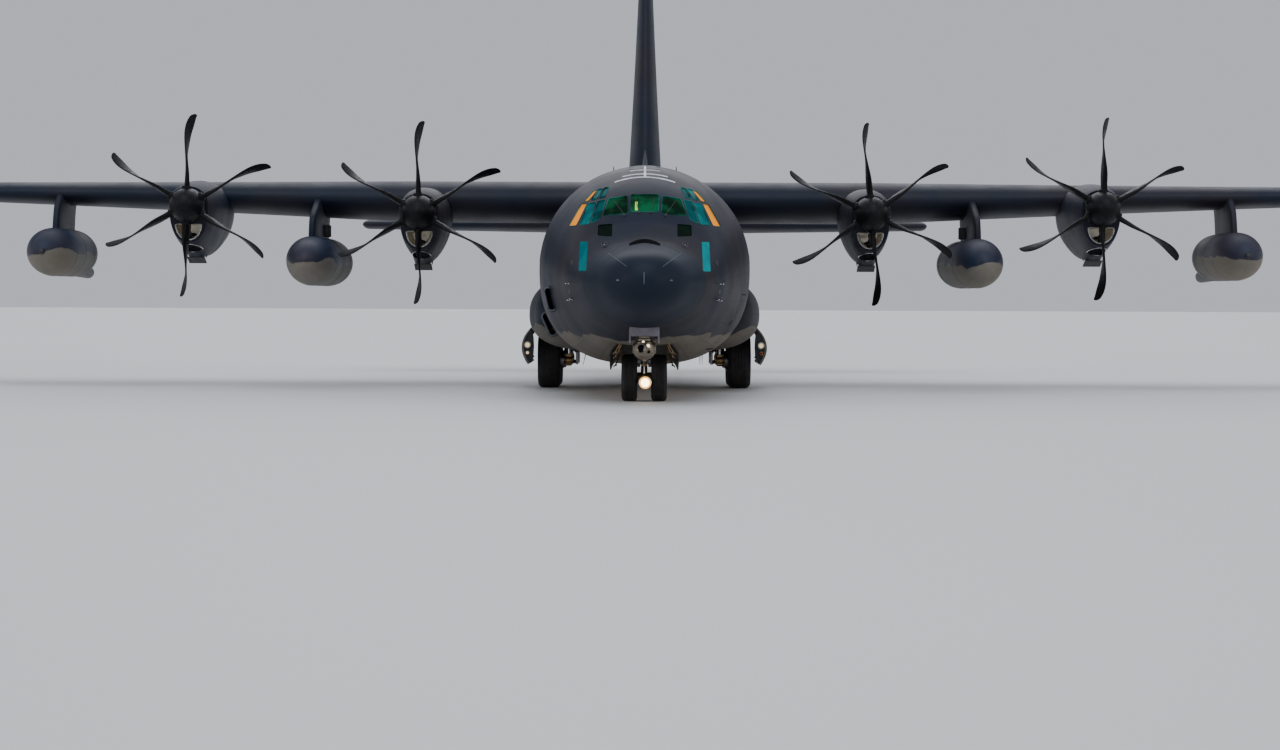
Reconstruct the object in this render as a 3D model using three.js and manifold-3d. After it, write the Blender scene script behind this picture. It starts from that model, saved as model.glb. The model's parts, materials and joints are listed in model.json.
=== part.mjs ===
// A four-engined turboprop military transport plane, parked on its gear, as a model at half size.
// Every size below is the full-size aircraft's, in metres: x to its left side, y aft from the nose tip, z up from
// the ground. The exported group halves that, turns it into millimetres and puts the middle of the length at y = 0.
import * as THREE from "three";
import { mergeVertices } from "three/addons/utils/BufferGeometryUtils.js";
import Module from "manifold-3d";

const wasm = await Module();
wasm.setup();

// Driving dimensions of the aircraft
const MM_PER_METRE = 1000;
const MODEL_SCALE = 0.5;
const LENGTH = 29.79;
const HALF_SPAN = 20.205;
const FIN_TOP = 11.84;
const TAIL_HALF_SPAN = 8.03;
const PROP_RADIUS = 2.057;
const WALL = 0.12; // whole thickness of a fuselage wall
const SEAT = 0.0006; // gap between pieces that rest on each other
const GAP = 0.014; // gap round a piece that moves
const END_GAP = 0.04; // gap at the ends of a slanted hinge

// Where the fuselage is split into its sections
const RADOME_END = 1.5;
const FLIGHT_DECK_END = 6.6;
const HOLD_SPLIT = 15.4; // just behind the main wheel wells
const HOLD_END = 18.76;
const FLOOR_TOP = 1.03;
const DECK_BOTTOM = 2.25;
const DECK_TOP = 2.33;

// Fuselage sections: station, half width, top, height of the widest point, bottom, upper and lower roundness
const FUSELAGE = [
  [0.0, 0.05, 2.5, 2.45, 2.4, 2, 2],
  [0.06, 0.27, 2.7, 2.45, 2.2, 2, 2],
  [0.2, 0.48, 2.87, 2.45, 2.06, 2, 2],
  [0.5, 0.76, 3.03, 2.46, 1.9, 2, 2],
  [0.95, 1.0, 3.14, 2.48, 1.75, 2, 2],
  [1.5, 1.24, 3.27, 2.5, 1.59, 2, 2.05],
  [2.3, 1.51, 3.72, 2.55, 1.36, 2, 2.1],
  [2.7, 1.62, 4.03, 2.58, 1.25, 2, 2.15],
  [3.1, 1.71, 4.29, 2.61, 1.14, 2, 2.2],
  [3.9, 1.89, 4.62, 2.68, 0.95, 2, 2.3],
  [4.8, 2.07, 4.84, 2.74, 0.82, 2, 2.4],
  [5.7, 2.21, 4.96, 2.78, 0.74, 2, 2.5],
  [6.6, 2.29, 5.02, 2.8, 0.7, 2, 2.5],
  [7.8, 2.31, 5.02, 2.8, 0.7, 2, 2.5],
  [17.5, 2.31, 4.98, 2.8, 0.7, 2, 2.5],
  [18.76, 2.26, 4.97, 2.85, 0.74, 2, 2.5],
  [20.3, 2.13, 4.94, 3.0, 1.38, 2, 2.5],
  [22.0, 1.88, 4.91, 3.25, 2.08, 2, 2.5],
  [24.0, 1.46, 4.87, 3.62, 2.9, 2, 2.4],
  [26.0, 0.98, 4.8, 3.96, 3.45, 2, 2.2],
  [28.0, 0.55, 4.66, 4.16, 3.78, 2, 2],
  [29.3, 0.27, 4.47, 4.22, 4.0, 2, 2],
  [LENGTH, 0.05, 4.29, 4.24, 4.19, 2, 2],
];

// Wing: constant chord to the joint, then tapered about its quarter-chord line
const WING = {
  joint: 5.6, // where the outer wing bolts to the centre wing
  rootLead: 11.25, rootChord: 4.88, rootThick: 0.195, rootHeight: 4.43, rootTwist: 3,
  tipLead: 11.855, tipChord: 2.46, tipThick: 0.12, tipHeight: 4.645, tipTwist: 0,
  camber: 0.015,
};
const FLAP_FRONT = 0.73; // share of the chord
const AILERON_FRONT = 0.76;
const FLAPS = [
  ["inner", 2.36, 5.45],
  ["outer", 5.75, 13.05],
];
const AILERON = [13.25, 19.6];
const FLAP_DROP = 0.6; // the flap's pivot lies under the middle of its nose by this share of the nose's radius
const PIN_RADIUS = 0.03;

// Engines: number, distance out, height of the thrust line, turn of the parked propeller in degrees
const ENGINES = [
  [1, 10.29, 4.19, 0.5],
  [2, 5.085, 4.05, 6.2],
  [3, -5.085, 4.05, 1.5],
  [4, -10.29, 4.19, -0.5],
];
const PROP_PLANE = 8.6;
const SPINNER_RADIUS = 0.39;
const SHAFT_RADIUS = 0.18;
const NACELLE_FRONT = 8.92;
// Nacelle sections: station, half width, top and bottom from the thrust line, lower roundness
const NACELLE = [
  [8.92, 0.44, 0.43, -0.83, 2.3],
  [9.2, 0.48, 0.5, -0.94, 2.1],
  [9.8, 0.53, 0.58, -1.07, 1.85],
  [10.8, 0.56, 0.63, -1.14, 1.7],
  [11.7, 0.56, 0.6, -1.1, 1.7],
  [12.7, 0.5, 0.36, -0.92, 1.8],
  [13.5, 0.38, 0.16, -0.68, 2],
  [14.0, 0.27, 0.08, -0.46, 2],
];
// Blade sections: radius, chord, thickness, pitch in degrees, shift of the middle towards the trailing edge
const BLADE = [
  [0.3, 0.16, 0.15, 118, 0],
  [0.55, 0.25, 0.1, 113, 0],
  [0.85, 0.37, 0.07, 103, -0.02],
  [1.2, 0.41, 0.05, 90, 0],
  [1.55, 0.38, 0.036, 76, 0.04],
  [1.82, 0.33, 0.026, 64, 0.12],
  [1.98, 0.25, 0.018, 60, 0.2],
  [PROP_RADIUS, 0.1, 0.01, 58, 0.27],
];

// Stores under each wing: name, distance out, height, radius, nose, front and back shoulders, tail
const STORES = [
  ["fuel_tank", 7.65, 2.97, 0.57, 8.55, 10.3, 13.4, 16.3],
  ["refuelling_pod", 13.73, 3.16, 0.56, 9.5, 10.9, 13.0, 14.8],
];

// Landing gear
const MAIN_AXLE_HEIGHT = 0.66;
const MAIN_TYRE = { radius: 0.66, half: 0.27 };
const MAIN_TRACK = 2.26;
const MAIN_AXLES = [["front", 12.75], ["rear", 14.28]];
const STRUT_OUT = 1.8;
const WELL = { inner: 1.62, outer: 2.6, front: 11.9, back: 15.13, roof: 1.76 };
const NOSE_AXLE = 3.9;
const NOSE_AXLE_HEIGHT = 0.49;
const NOSE_TYRE = { radius: 0.49, half: 0.165 };
const NOSE_WHEEL_OUT = 0.31;
const HUB_FACE = 0.62; // share of the tyre's half width at which the hub's flat faces lie
const NOSE_WELL = { half: 0.52, front: 3.0, back: 4.75, roof: 1.78 };
const TURRET = { station: 1.88, height: 1.13, radius: 0.235, seat: 1.38 };

// Doors
// A door's middle in x and y, half width along the skin, turn about the vertical, lower and upper edge
const CREW_DOOR = { middle: [1.424, 5.5], half: 0.4, turn: -11.27, bottom: 1.08, top: 2.22, hinge: 1.1 };
const TROOP_DOOR = { middle: [2.22, 17.66], half: 0.46, turn: 0, bottom: 1.08, top: 2.92 };
const RAMP_HALF = 1.45;
const RAMP_START = [18.78, 0.74];
const RAMP_END = [21.9, 2.03];
const RAMP_DEPTH = 0.27;
const RAMP_HINGE = { z: 0.765, half: 0.5, radius: RAMP_START[0] - HOLD_END - SEAT };
const CARGO_DOOR_END = [25.2, 3.27];
const CARGO_DOOR_END_HALF = 0.85;
const DOOR_PIVOT = { y: 25.03, z: 3.62, half: 0.75, arm: 0.5 };
const SPLIT_LEAN = 0.15; // forward lean of the split between ramp and door, so that each swings clear
const JACK_PADS = [[-0.95, 7.4, 0.76], [0.95, 7.4, 0.76], [0, 17.9, 0.655]];
const JACK_PAD_RADIUS = 0.075;

// Tail
const FIN = { rootLead: 21.9, rootTrail: 28.35, rootZ: 4.3, tipLead: 25.55, tipTrail: 28.0, thick: 0.13 };
const RUDDER = { bottom: 5.36, top: 11.3, frontShare: 0.69 };
const TAILPLANE = { z: 4.2, rootLead: 24.55, rootTrail: 28.75, tipLead: 26.1, tipTrail: 28.0, thick: 0.125 };
const ELEVATOR = { inner: 0.85, outer: 7.55, hinge: 27.2 };

const paint = (color, roughness = 0.5, metalness = 0.1) =>
  new THREE.MeshStandardMaterial({ color, roughness, metalness });
const UPPER_GREY = paint(0x2b3340);
const LOWER_GREY = paint(0x6d6e6b);
const BLACK = paint(0x0b0b0d, 0.45);
const RUBBER = paint(0x111112, 0.9, 0);
const GLASS = new THREE.MeshStandardMaterial({ color: 0x1f6b5a, roughness: 0.08, transparent: true, opacity: 0.4 });
const STEEL = paint(0xb9b6ae, 0.35, 0.7);
const CABIN = paint(0x4a4f4c, 0.8, 0);

const plane = new THREE.Group();
const add = (name, solid, material) => {
  const mesh = new THREE.Mesh(geometryOf(solid), material);
  mesh.name = name;
  plane.add(mesh);
};

const lerp = THREE.MathUtils.lerp;
const rad = THREE.MathUtils.degToRad;

// Turns a closed geometry into a solid with its faces pointing out.
function solidOf(geometry) {
  const bare = new THREE.BufferGeometry().setAttribute("position", geometry.getAttribute("position").clone());
  bare.setIndex(geometry.index);
  const merged = mergeVertices(bare, 1e-5);
  const triVerts = new Uint32Array(merged.index.array);
  const make = () =>
    new wasm.Manifold(new wasm.Mesh({ numProp: 3, vertProperties: merged.attributes.position.array, triVerts }));
  let solid = make();
  if (solid.volume() < 0) {
    for (let i = 0; i < triVerts.length; i += 3)
      [triVerts[i + 1], triVerts[i + 2]] = [triVerts[i + 2], triVerts[i + 1]];
    solid = make();
  }
  return solid;
}

function geometryOf(solid) {
  const mesh = solid.getMesh();
  const corners = new Float32Array(mesh.numVert * 3);
  for (let i = 0; i < mesh.numVert; i++)
    corners.set(mesh.vertProperties.subarray(i * mesh.numProp, i * mesh.numProp + 3), i * 3);
  const geometry = new THREE.BufferGeometry();
  geometry.setAttribute("position", new THREE.BufferAttribute(corners, 3));
  geometry.setIndex(new THREE.BufferAttribute(mesh.triVerts, 1));
  return geometry;
}

// A solid through rings of points, each ring with the same count, closed by a fan at both ends.
function loft(rings) {
  const count = rings[0].length;
  const points = rings.flat();
  const faces = [];
  for (let r = 0; r + 1 < rings.length; r++)
    for (let i = 0; i < count; i++) {
      const a = r * count + i;
      const b = r * count + ((i + 1) % count);
      faces.push(a, b, a + count, b, b + count, a + count);
    }
  for (const [ring, turned] of [[0, true], [rings.length - 1, false]]) {
    const middle = rings[ring].reduce((sum, p) => sum.add(p), new THREE.Vector3()).divideScalar(count);
    points.push(middle);
    for (let i = 0; i < count; i++) {
      const a = ring * count + i;
      const b = ring * count + ((i + 1) % count);
      faces.push(...(turned ? [b, a] : [a, b]), points.length - 1);
    }
  }
  const geometry = new THREE.BufferGeometry().setFromPoints(points);
  geometry.setIndex(faces);
  return solidOf(geometry);
}

// A box between two corners.
function box(low, high) {
  const size = high.map((v, i) => v - low[i]);
  const middle = high.map((v, i) => (v + low[i]) / 2);
  return solidOf(new THREE.BoxGeometry(...size).translate(...middle));
}

// An outline of [y, z] points, extruded across from x0 to x1.
function sideSlab(outline, x0, x1) {
  const shape = new THREE.Shape(outline.map(([y, z]) => new THREE.Vector2(y, z)));
  const geometry = new THREE.ExtrudeGeometry(shape, { depth: x1 - x0, bevelEnabled: false });
  geometry.applyMatrix4(new THREE.Matrix4().set(0, 0, 1, x0, 1, 0, 0, 0, 0, 1, 0, 0, 0, 0, 0, 1));
  return solidOf(geometry);
}

// An outline of [x, z] points, extruded aft from y0 to y1.
function frontSlab(outline, y0, y1) {
  const shape = new THREE.Shape(outline.map(([x, z]) => new THREE.Vector2(x, z)));
  const geometry = new THREE.ExtrudeGeometry(shape, { depth: y1 - y0, bevelEnabled: false });
  geometry.applyMatrix4(new THREE.Matrix4().set(1, 0, 0, 0, 0, 0, 1, y0, 0, 1, 0, 0, 0, 0, 0, 1));
  return solidOf(geometry);
}

// An outline of [x, y] points, extruded up from z0 to z1.
function planSlab(outline, z0, z1) {
  const shape = new THREE.Shape(outline.map(([x, y]) => new THREE.Vector2(x, y)));
  const geometry = new THREE.ExtrudeGeometry(shape, { depth: z1 - z0, bevelEnabled: false }).translate(0, 0, z0);
  return solidOf(geometry);
}

// A rod between two points.
function rod(from, to, radius, sides = 12) {
  const a = new THREE.Vector3(...from);
  const b = new THREE.Vector3(...to);
  const geometry = new THREE.CylinderGeometry(radius, radius, a.distanceTo(b), sides);
  const turn = new THREE.Quaternion().setFromUnitVectors(
    new THREE.Vector3(0, 1, 0), b.clone().sub(a).normalize());
  geometry.applyQuaternion(turn).translate(...a.add(b).divideScalar(2).toArray());
  return solidOf(geometry);
}

// A profile of [radius, along] points turned about a line through a point, along "x" or "y".
function turned(profile, centre, along, sides = 20) {
  const geometry = new THREE.LatheGeometry(profile.map(([r, t]) => new THREE.Vector2(r, t)), sides);
  if (along === "x") geometry.rotateZ(-Math.PI / 2);
  geometry.translate(...centre);
  return solidOf(geometry);
}

// The hinge pin of a surface between two points: it sticks out at both ends and stops short of the walls there,
// which lie a gap away and are square to x, or to z.
function hingePin(from, to, gap, square = "x") {
  const along = to.clone().sub(from).normalize();
  const straight = Math.abs(along[square]);
  const reach = (gap - SEAT - PIN_RADIUS * Math.sqrt(1 - straight ** 2)) / straight;
  const end = to.clone().addScaledVector(along, reach);
  return rod(from.clone().addScaledVector(along, -reach).toArray(), end.toArray(), PIN_RADIUS, 8);
}

const joined = (...solids) => solids.reduce((whole, next) => whole.add(next));
const mirrored = (solid, side) => (side > 0 ? solid : solid.mirror([1, 0, 0]));
const SIDES = [["left", 1], ["right", -1]];

// Fuselage

// A round section: a half ellipse above its widest point and a squarer one below.
function sectionRing([y, half, top, middle, bottom, upper, lower], inset, count) {
  const ring = [];
  for (let i = 0; i < count; i++) {
    const angle = ((i + 0.5) / count) * 2 * Math.PI;
    const power = Math.sin(angle) > 0 ? upper : lower;
    const c = Math.cos(angle);
    const s = Math.sin(angle);
    const reach = (Math.abs(c) ** power + Math.abs(s) ** power) ** (-1 / power);
    const height = s > 0 ? top - middle - inset : middle - bottom - inset;
    ring.push(new THREE.Vector3((half - inset) * c * reach, y, middle + height * s * reach));
  }
  return ring;
}

// The fuselage's row at any station, between its table's rows.
function fuselageRow(y) {
  const next = FUSELAGE.findIndex((row) => row[0] >= y);
  const above = FUSELAGE[Math.max(next, 1)];
  const below = FUSELAGE[Math.max(next, 1) - 1];
  const share = (y - below[0]) / (above[0] - below[0]);
  return below.map((value, i) => lerp(value, above[i], share));
}

function fuselage(from, to, inset = 0, count = 28) {
  const rows = [fuselageRow(from), ...FUSELAGE.filter(([y]) => y > from + 0.01 && y < to - 0.01), fuselageRow(to)];
  return loft(rows.map((row) => sectionRing(row, inset, count)));
}

// Wing

const foilHalf = (u, thick) =>
  5 * thick * (0.2969 * Math.sqrt(u) - 0.126 * u - 0.3516 * u ** 2 + 0.2843 * u ** 3 - 0.1036 * u ** 4);
const UPPER_STOPS = [1, 0.85, 0.7, 0.5, 0.33, 0.2, 0.1, 0.03, 0];
const LOWER_STOPS = [0.03, 0.1, 0.25, 0.45, 0.7, 0.85];

// The wing's chord, place, thickness and twist at a distance out.
function wingAt(x) {
  const share = Math.max(0, (Math.abs(x) - WING.joint) / (HALF_SPAN - WING.joint));
  return {
    lead: lerp(WING.rootLead, WING.tipLead, share),
    chord: lerp(WING.rootChord, WING.tipChord, share),
    thick: lerp(WING.rootThick, WING.tipThick, share),
    height: lerp(WING.rootHeight, WING.tipHeight, share),
    twist: rad(lerp(WING.rootTwist, WING.tipTwist, share)),
  };
}

// A point on the wing: share of the chord, and side +1 above, -1 below or 0 on the mean line.
function wingPoint(x, u, side, grow = 0) {
  const w = wingAt(x);
  const mean = 4 * WING.camber * u * (1 - u) * w.chord;
  const up = mean + side * (foilHalf(u, w.thick) * w.chord + 0.004 + grow);
  const back = u * w.chord + grow * (u * 2 - 1);
  return new THREE.Vector3(
    x, w.lead + back * Math.cos(w.twist) + up * Math.sin(w.twist),
    w.height - back * Math.sin(w.twist) + up * Math.cos(w.twist));
}

function wingRing(x, grow = 0) {
  return [
    ...UPPER_STOPS.map((u) => wingPoint(x, u, u ? 1 : 0, grow)),
    ...LOWER_STOPS.map((u) => wingPoint(x, u, -1, grow)),
    wingPoint(x, 1, -1, grow),
  ];
}

const OUTER_WING_STOPS = [WING.joint, 9.4, 13.15, 16.5, HALF_SPAN - 0.35];
const centreWing = (grow = 0, half = WING.joint) => loft([wingRing(-half, grow), wingRing(half, grow)]);
const outerWing = (grow = 0) => loft(OUTER_WING_STOPS.map((x) => wingRing(x, grow)));

// The middle and radius of a flap's or aileron's round nose.
function noseOf(x, front) {
  const top = wingPoint(x, front, 1);
  const low = wingPoint(x, front, -1);
  return { top, low, middle: top.clone().add(low).divideScalar(2), radius: top.distanceTo(low) / 2 };
}

// A flap or aileron: a round nose at its front share, then the wing's own outline to the trailing edge.
function surfaceRing(x, front) {
  const { top, low, middle, radius } = noseOf(x, front);
  const nose = [135, 180, 225].map((degrees) => new THREE.Vector3(
    x, middle.y + radius * Math.cos(rad(degrees)), middle.z + radius * Math.sin(rad(degrees))));
  return [
    wingPoint(x, 1, 1), wingPoint(x, (1 + front) / 2, 1), top, ...nose, low,
    wingPoint(x, (1 + front) / 2, -1), wingPoint(x, 1, -1),
  ];
}

// The whole surface with the pin that it turns on.
function surfaceBlock(from, to, front, drop) {
  const pivots = [from, to].map((x) => {
    const { middle, radius } = noseOf(x, front);
    return middle.setZ(middle.z - drop * radius);
  });
  return loft([surfaceRing(from, front), surfaceRing(to, front)]).add(hingePin(...pivots, END_GAP));
}

// The bay that is cut from the wing for such a surface.
function bayBlock(from, to, front) {
  const ring = (x) => {
    const { middle, radius } = noseOf(x, front);
    const w = wingAt(x);
    const y = middle.y - radius - GAP;
    return [[y, w.height + 1], [y, w.height - 1], [y + w.chord, w.height - 1], [y + w.chord, w.height + 1]]
      .map(([station, z]) => new THREE.Vector3(x, station, z));
  };
  return loft([ring(from), ring(to)]);
}

// Fuselage pieces

const hullSkin = fuselage(0, LENGTH, -SEAT);
const hullOuter = fuselage(0, LENGTH);
const hullInner = fuselage(RADOME_END + 0.35, LENGTH - 1, WALL);
const slice = (from, to) => box([-4, from, -1], [4, to, 7]);
const wholeWing = joined(centreWing(SEAT), outerWing(SEAT), mirrored(outerWing(SEAT), -1));

// The block that cuts a left-hand door from the wall, or the opening round it when an edge is given.
const through = (door, edge = 0) =>
  box([-0.9, -door.half - edge, door.bottom - edge], [1.2, door.half + edge, door.top + edge])
    .rotate([0, 0, door.turn]).translate([...door.middle, 0]);

// Cockpit panes as seen from the front: corners in x and z, the first on the centre line, the rest on both sides
const CENTRE_PANE = [[-0.27, 3.86], [0.27, 3.86], [0.27, 4.26], [-0.27, 4.26]];
const SIDE_PANES = [
  [[0.31, 3.86], [0.85, 3.84], [0.76, 4.18], [0.31, 4.24]],
  [[0.9, 3.78], [1.16, 3.66], [1.01, 4.1], [0.81, 4.15]],
  [[1.21, 3.63], [1.43, 3.63], [1.25, 4.08], [1.06, 4.08]],
  [[1.48, 3.61], [1.66, 3.61], [1.42, 4.07], [1.3, 4.07]],
  [[0.77, 4.24], [0.94, 4.19], [0.82, 4.4], [0.71, 4.42]],
  [[0.98, 4.17], [1.19, 4.14], [1.0, 4.39], [0.86, 4.4]],
  [[1.24, 4.14], [1.38, 4.13], [1.13, 4.38], [1.04, 4.38]],
];
const PANES_BACK = 4.75; // the cuts go no further aft than this
const across = (outline) => outline.map(([x, z]) => [-x, z]);
const paneOutlines = [CENTRE_PANE, ...SIDE_PANES, ...SIDE_PANES.map(across)];

function makeFlightDeck() {
  const deckRoom = hullInner.intersect(box([-4, 2.05, DECK_BOTTOM], [4, FLIGHT_DECK_END + 1, 7]));
  const entryRoom = hullInner.intersect(box([-4, 4.95, FLOOR_TOP], [4, FLIGHT_DECK_END + 1, 7]));
  const noseWell = box(
    [-NOSE_WELL.half, NOSE_WELL.front, -1], [NOSE_WELL.half, NOSE_WELL.back, NOSE_WELL.roof]);
  const section = hullOuter.intersect(slice(RADOME_END + SEAT, FLIGHT_DECK_END)).subtract(deckRoom)
    .subtract(entryRoom).subtract(noseWell);
  const panes = joined(...paneOutlines.map((outline) => frontSlab(outline, 1.9, PANES_BACK)));
  const t = TURRET;
  const mountTop = box([-0.31, t.station - 0.25, t.seat], [0.31, t.station + 0.25, t.seat + 0.2]);
  const cheeks = [-1, 1].map((side) => box(
    [side * 0.29 - 0.02, t.station - 0.12, 1.18], [side * 0.29 + 0.02, t.station + 0.12, t.seat + 0.05]));
  add("flight_deck_shell", joined(section.subtract(panes), mountTop, ...cheeks)
    .subtract(through(CREW_DOOR, GAP)), UPPER_GREY);
  const [doorX, doorY] = CREW_DOOR.middle;
  const pinHalf = CREW_DOOR.half + GAP - SEAT;
  const crewPin = rod([0, -pinHalf, CREW_DOOR.hinge], [0, pinHalf, CREW_DOOR.hinge], 0.018, 8)
    .rotate([0, 0, CREW_DOOR.turn]).translate([doorX, doorY, 0]);
  add("crew_door", hullOuter.subtract(hullInner).intersect(through(CREW_DOOR)).add(crewPin), UPPER_GREY);
  // One glass band lies inside the frames of all panes
  const band = fuselage(2.12, PANES_BACK - 0.2, WALL + 3 * SEAT).subtract(fuselage(2.0, PANES_BACK, WALL + 0.03))
    .intersect(box([-4, 2, 3.5], [4, PANES_BACK, 4.45]));
  add("cockpit_glass", band, GLASS);
}

// The raised floor with its instrument panel, centre pedestal and two seats
function makeFlightDeckFloor() {
  const slab = fuselage(2.2, FLIGHT_DECK_END - 0.1, WALL + SEAT)
    .intersect(box([-4, 2.2, DECK_BOTTOM + SEAT], [4, FLIGHT_DECK_END, DECK_TOP]));
  const panel = sideSlab([[2.95, DECK_TOP - 0.02], [3.12, DECK_TOP - 0.02], [3.22, 3.45], [2.85, 3.5]], -1.05, 1.05);
  const pedestal = sideSlab([[3.0, DECK_TOP - 0.02], [4.1, DECK_TOP - 0.02], [4.1, 2.85], [3.0, 3.1]], -0.22, 0.22);
  const seats = [-0.62, 0.62].map((x) => joined(
    box([x - 0.16, 3.95, DECK_TOP - 0.02], [x + 0.16, 4.3, 2.7]),
    box([x - 0.25, 3.85, 2.68], [x + 0.25, 4.4, 2.82]),
    sideSlab([[4.3, 2.7], [4.42, 2.7], [4.55, 3.62], [4.43, 3.62]], x - 0.24, x + 0.24)));
  add("flight_deck_floor", joined(slab, panel, pedestal, ...seats), CABIN);
}

function makeHold() {
  const wells = SIDES.map(([, side]) => mirrored(
    box([WELL.inner, WELL.front, -1], [4, WELL.back, WELL.roof]), side));
  const wellWalls = SIDES.map(([, side]) => mirrored(
    box([WELL.inner - WALL, WELL.front - WALL, -1], [4, WELL.back + WALL, WELL.roof + WALL]), side));
  const room = hullInner.intersect(box([-4, FLIGHT_DECK_END - 1, FLOOR_TOP], [4, HOLD_END + 1, 7]))
    .subtract(joined(...wellWalls));
  const wingSlot = joined(...[0, 0.3, 0.6].map((up) => centreWing(SEAT).translate([0, 0, up])));
  const troopDoors = joined(...SIDES.map(([, side]) => mirrored(through(TROOP_DOOR, SEAT), side)));
  const pads = JACK_PADS.map(([x, y, z]) => rod([x, y, z], [x, y, 0.9], JACK_PAD_RADIUS));
  const hold = joined(hullOuter.subtract(room).subtract(joined(...wells)), ...pads)
    .subtract(wingSlot).subtract(troopDoors);
  for (const [place, from, to] of [["front", FLIGHT_DECK_END, HOLD_SPLIT], ["rear", HOLD_SPLIT, HOLD_END]])
    add(`cargo_hold_${place}_shell`, biggest(hold.intersect(slice(from + SEAT, to))), UPPER_GREY);
  for (const [name, side] of SIDES)
    add(`troop_door_${name}`, hullOuter.subtract(hullInner).intersect(mirrored(through(TROOP_DOOR), side)), UPPER_GREY);
}

// Outlines of the ramp and the cargo door in y and z. A point is given along the ramp's slope and square to it.
function rearOutlines() {
  const [hy, hz] = RAMP_START;
  const slope = Math.atan2(RAMP_END[1] - hz, RAMP_END[0] - hy);
  const from = ([y, z], along, up) => {
    const ahead = along - up * SPLIT_LEAN;
    return [y + Math.cos(slope) * ahead - Math.sin(slope) * up, z + Math.sin(slope) * ahead + Math.cos(slope) * up];
  };
  return {
    ramp: [[hy, -1], [hy, hz + 0.9], from(RAMP_END, 0, 0.9), from(RAMP_END, 0, -1.5)],
    rampSlab: [[hy, -1], [hy, FLOOR_TOP], from(RAMP_END, 0, RAMP_DEPTH), from(RAMP_END, 0, -1.5)],
    cargoDoor: [
      from(RAMP_END, GAP, -1.5), from(RAMP_END, GAP, 0.9),
      from(CARGO_DOOR_END, 0, 0.75), from(CARGO_DOOR_END, 0, -1.5)],
    opening: [
      [hy - 0.5, -1], [hy - 0.5, hz + 0.9], from(RAMP_END, 0, 0.9),
      from(CARGO_DOOR_END, GAP, 0.75), from(CARGO_DOOR_END, GAP, -1.5)],
  };
}

function makeRear() {
  const outlines = rearOutlines();
  const plan = (edge) => [
    [-RAMP_HALF - edge, 17], [RAMP_HALF + edge, 17], [RAMP_HALF + edge, RAMP_END[0]],
    [CARGO_DOOR_END_HALF + edge, CARGO_DOOR_END[0] + 0.3], [-CARGO_DOOR_END_HALF - edge, CARGO_DOOR_END[0] + 0.3],
    [-RAMP_HALF - edge, RAMP_END[0]]];
  const prism = (outline, edge) => sideSlab(outline, -3, 3).intersect(planSlab(plan(edge), -2, 6));
  const wall = hullOuter.intersect(slice(HOLD_END + SEAT, LENGTH + 1)).subtract(hullInner);
  const tail = tailBlock(SEAT);
  const finRoot = finBlock(SEAT);
  const pivot = DOOR_PIVOT;
  const tube = rod([-pivot.half + SEAT, pivot.y, pivot.z], [pivot.half - SEAT, pivot.y, pivot.z], 0.05);
  const arms = [-pivot.arm, pivot.arm].map((x) =>
    box([x - 0.05, pivot.y - 0.12, pivot.z - 0.35], [x + 0.05, pivot.y, pivot.z]).intersect(hullOuter));
  const bosses = SIDES.map(([, side]) => mirrored(box(
    [pivot.half, pivot.y - 0.06, pivot.z - 0.06], [2, pivot.y + 0.06, pivot.z + 0.06]).intersect(hullOuter), side));
  const shell = wall.subtract(prism(outlines.opening, GAP)).subtract(tail).subtract(finRoot);
  add("rear_fuselage_shell", joined(shell, ...bosses), UPPER_GREY);
  const rampSlab = hullOuter.intersect(prism(outlines.rampSlab, 0));
  const hinge = RAMP_HINGE;
  const rampPin = rod([-hinge.half, RAMP_START[0], hinge.z], [hinge.half, RAMP_START[0], hinge.z], hinge.radius);
  add("cargo_ramp", joined(wall.intersect(prism(outlines.ramp, 0)), rampSlab, rampPin), UPPER_GREY);
  add("cargo_door", joined(wall.intersect(prism(outlines.cargoDoor, 0)), tube, ...arms), UPPER_GREY);
}

// Tail

// A symmetric section flat in a plane: leading point, trailing point, thickness share and growth.
function tailRing(lead, trail, height, thick, grow, place) {
  const chord = trail - lead;
  const stops = [1, 0.8, 0.6, 0.35, 0.15, 0.04, 0];
  const edge = (u, side) => place(
    lead + chord * u + grow * (u * 2 - 1), side * (foilHalf(u, thick) * chord + 0.005 + grow), height);
  return [...stops.map((u) => edge(u, u ? 1 : 0)), ...stops.slice(1, -1).reverse().map((u) => edge(u, -1)), edge(1, -1)];
}
const upright = (y, out, z) => new THREE.Vector3(out, y, z);
const finLead = (z) => lerp(FIN.rootLead, FIN.tipLead, (z - FIN.rootZ) / (FIN_TOP - FIN.rootZ));
const finTrail = (z) => lerp(FIN.rootTrail, FIN.tipTrail, (z - FIN.rootZ) / (FIN_TOP - FIN.rootZ));
const finRing = (z, grow = 0) => tailRing(finLead(z), finTrail(z), z, FIN.thick, grow, upright);
const tailLead = (x) => lerp(TAILPLANE.rootLead, TAILPLANE.tipLead, Math.abs(x) / TAIL_HALF_SPAN);
const tailTrail = (x) => lerp(TAILPLANE.rootTrail, TAILPLANE.tipTrail, Math.abs(x) / TAIL_HALF_SPAN);
const tailplaneRing = (x, grow = 0) =>
  tailRing(tailLead(x), tailTrail(x), x, TAILPLANE.thick, grow, (y, up, out) => new THREE.Vector3(out, y, TAILPLANE.z + up));

function finBlock(grow = 0) {
  return loft([finRing(TAILPLANE.z + 0.35, grow), finRing(FIN_TOP - 0.12, grow)]);
}
function tailBlock(grow = 0) {
  return loft([tailplaneRing(-TAIL_HALF_SPAN, grow), tailplaneRing(0, grow), tailplaneRing(TAIL_HALF_SPAN, grow)]);
}

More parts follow.
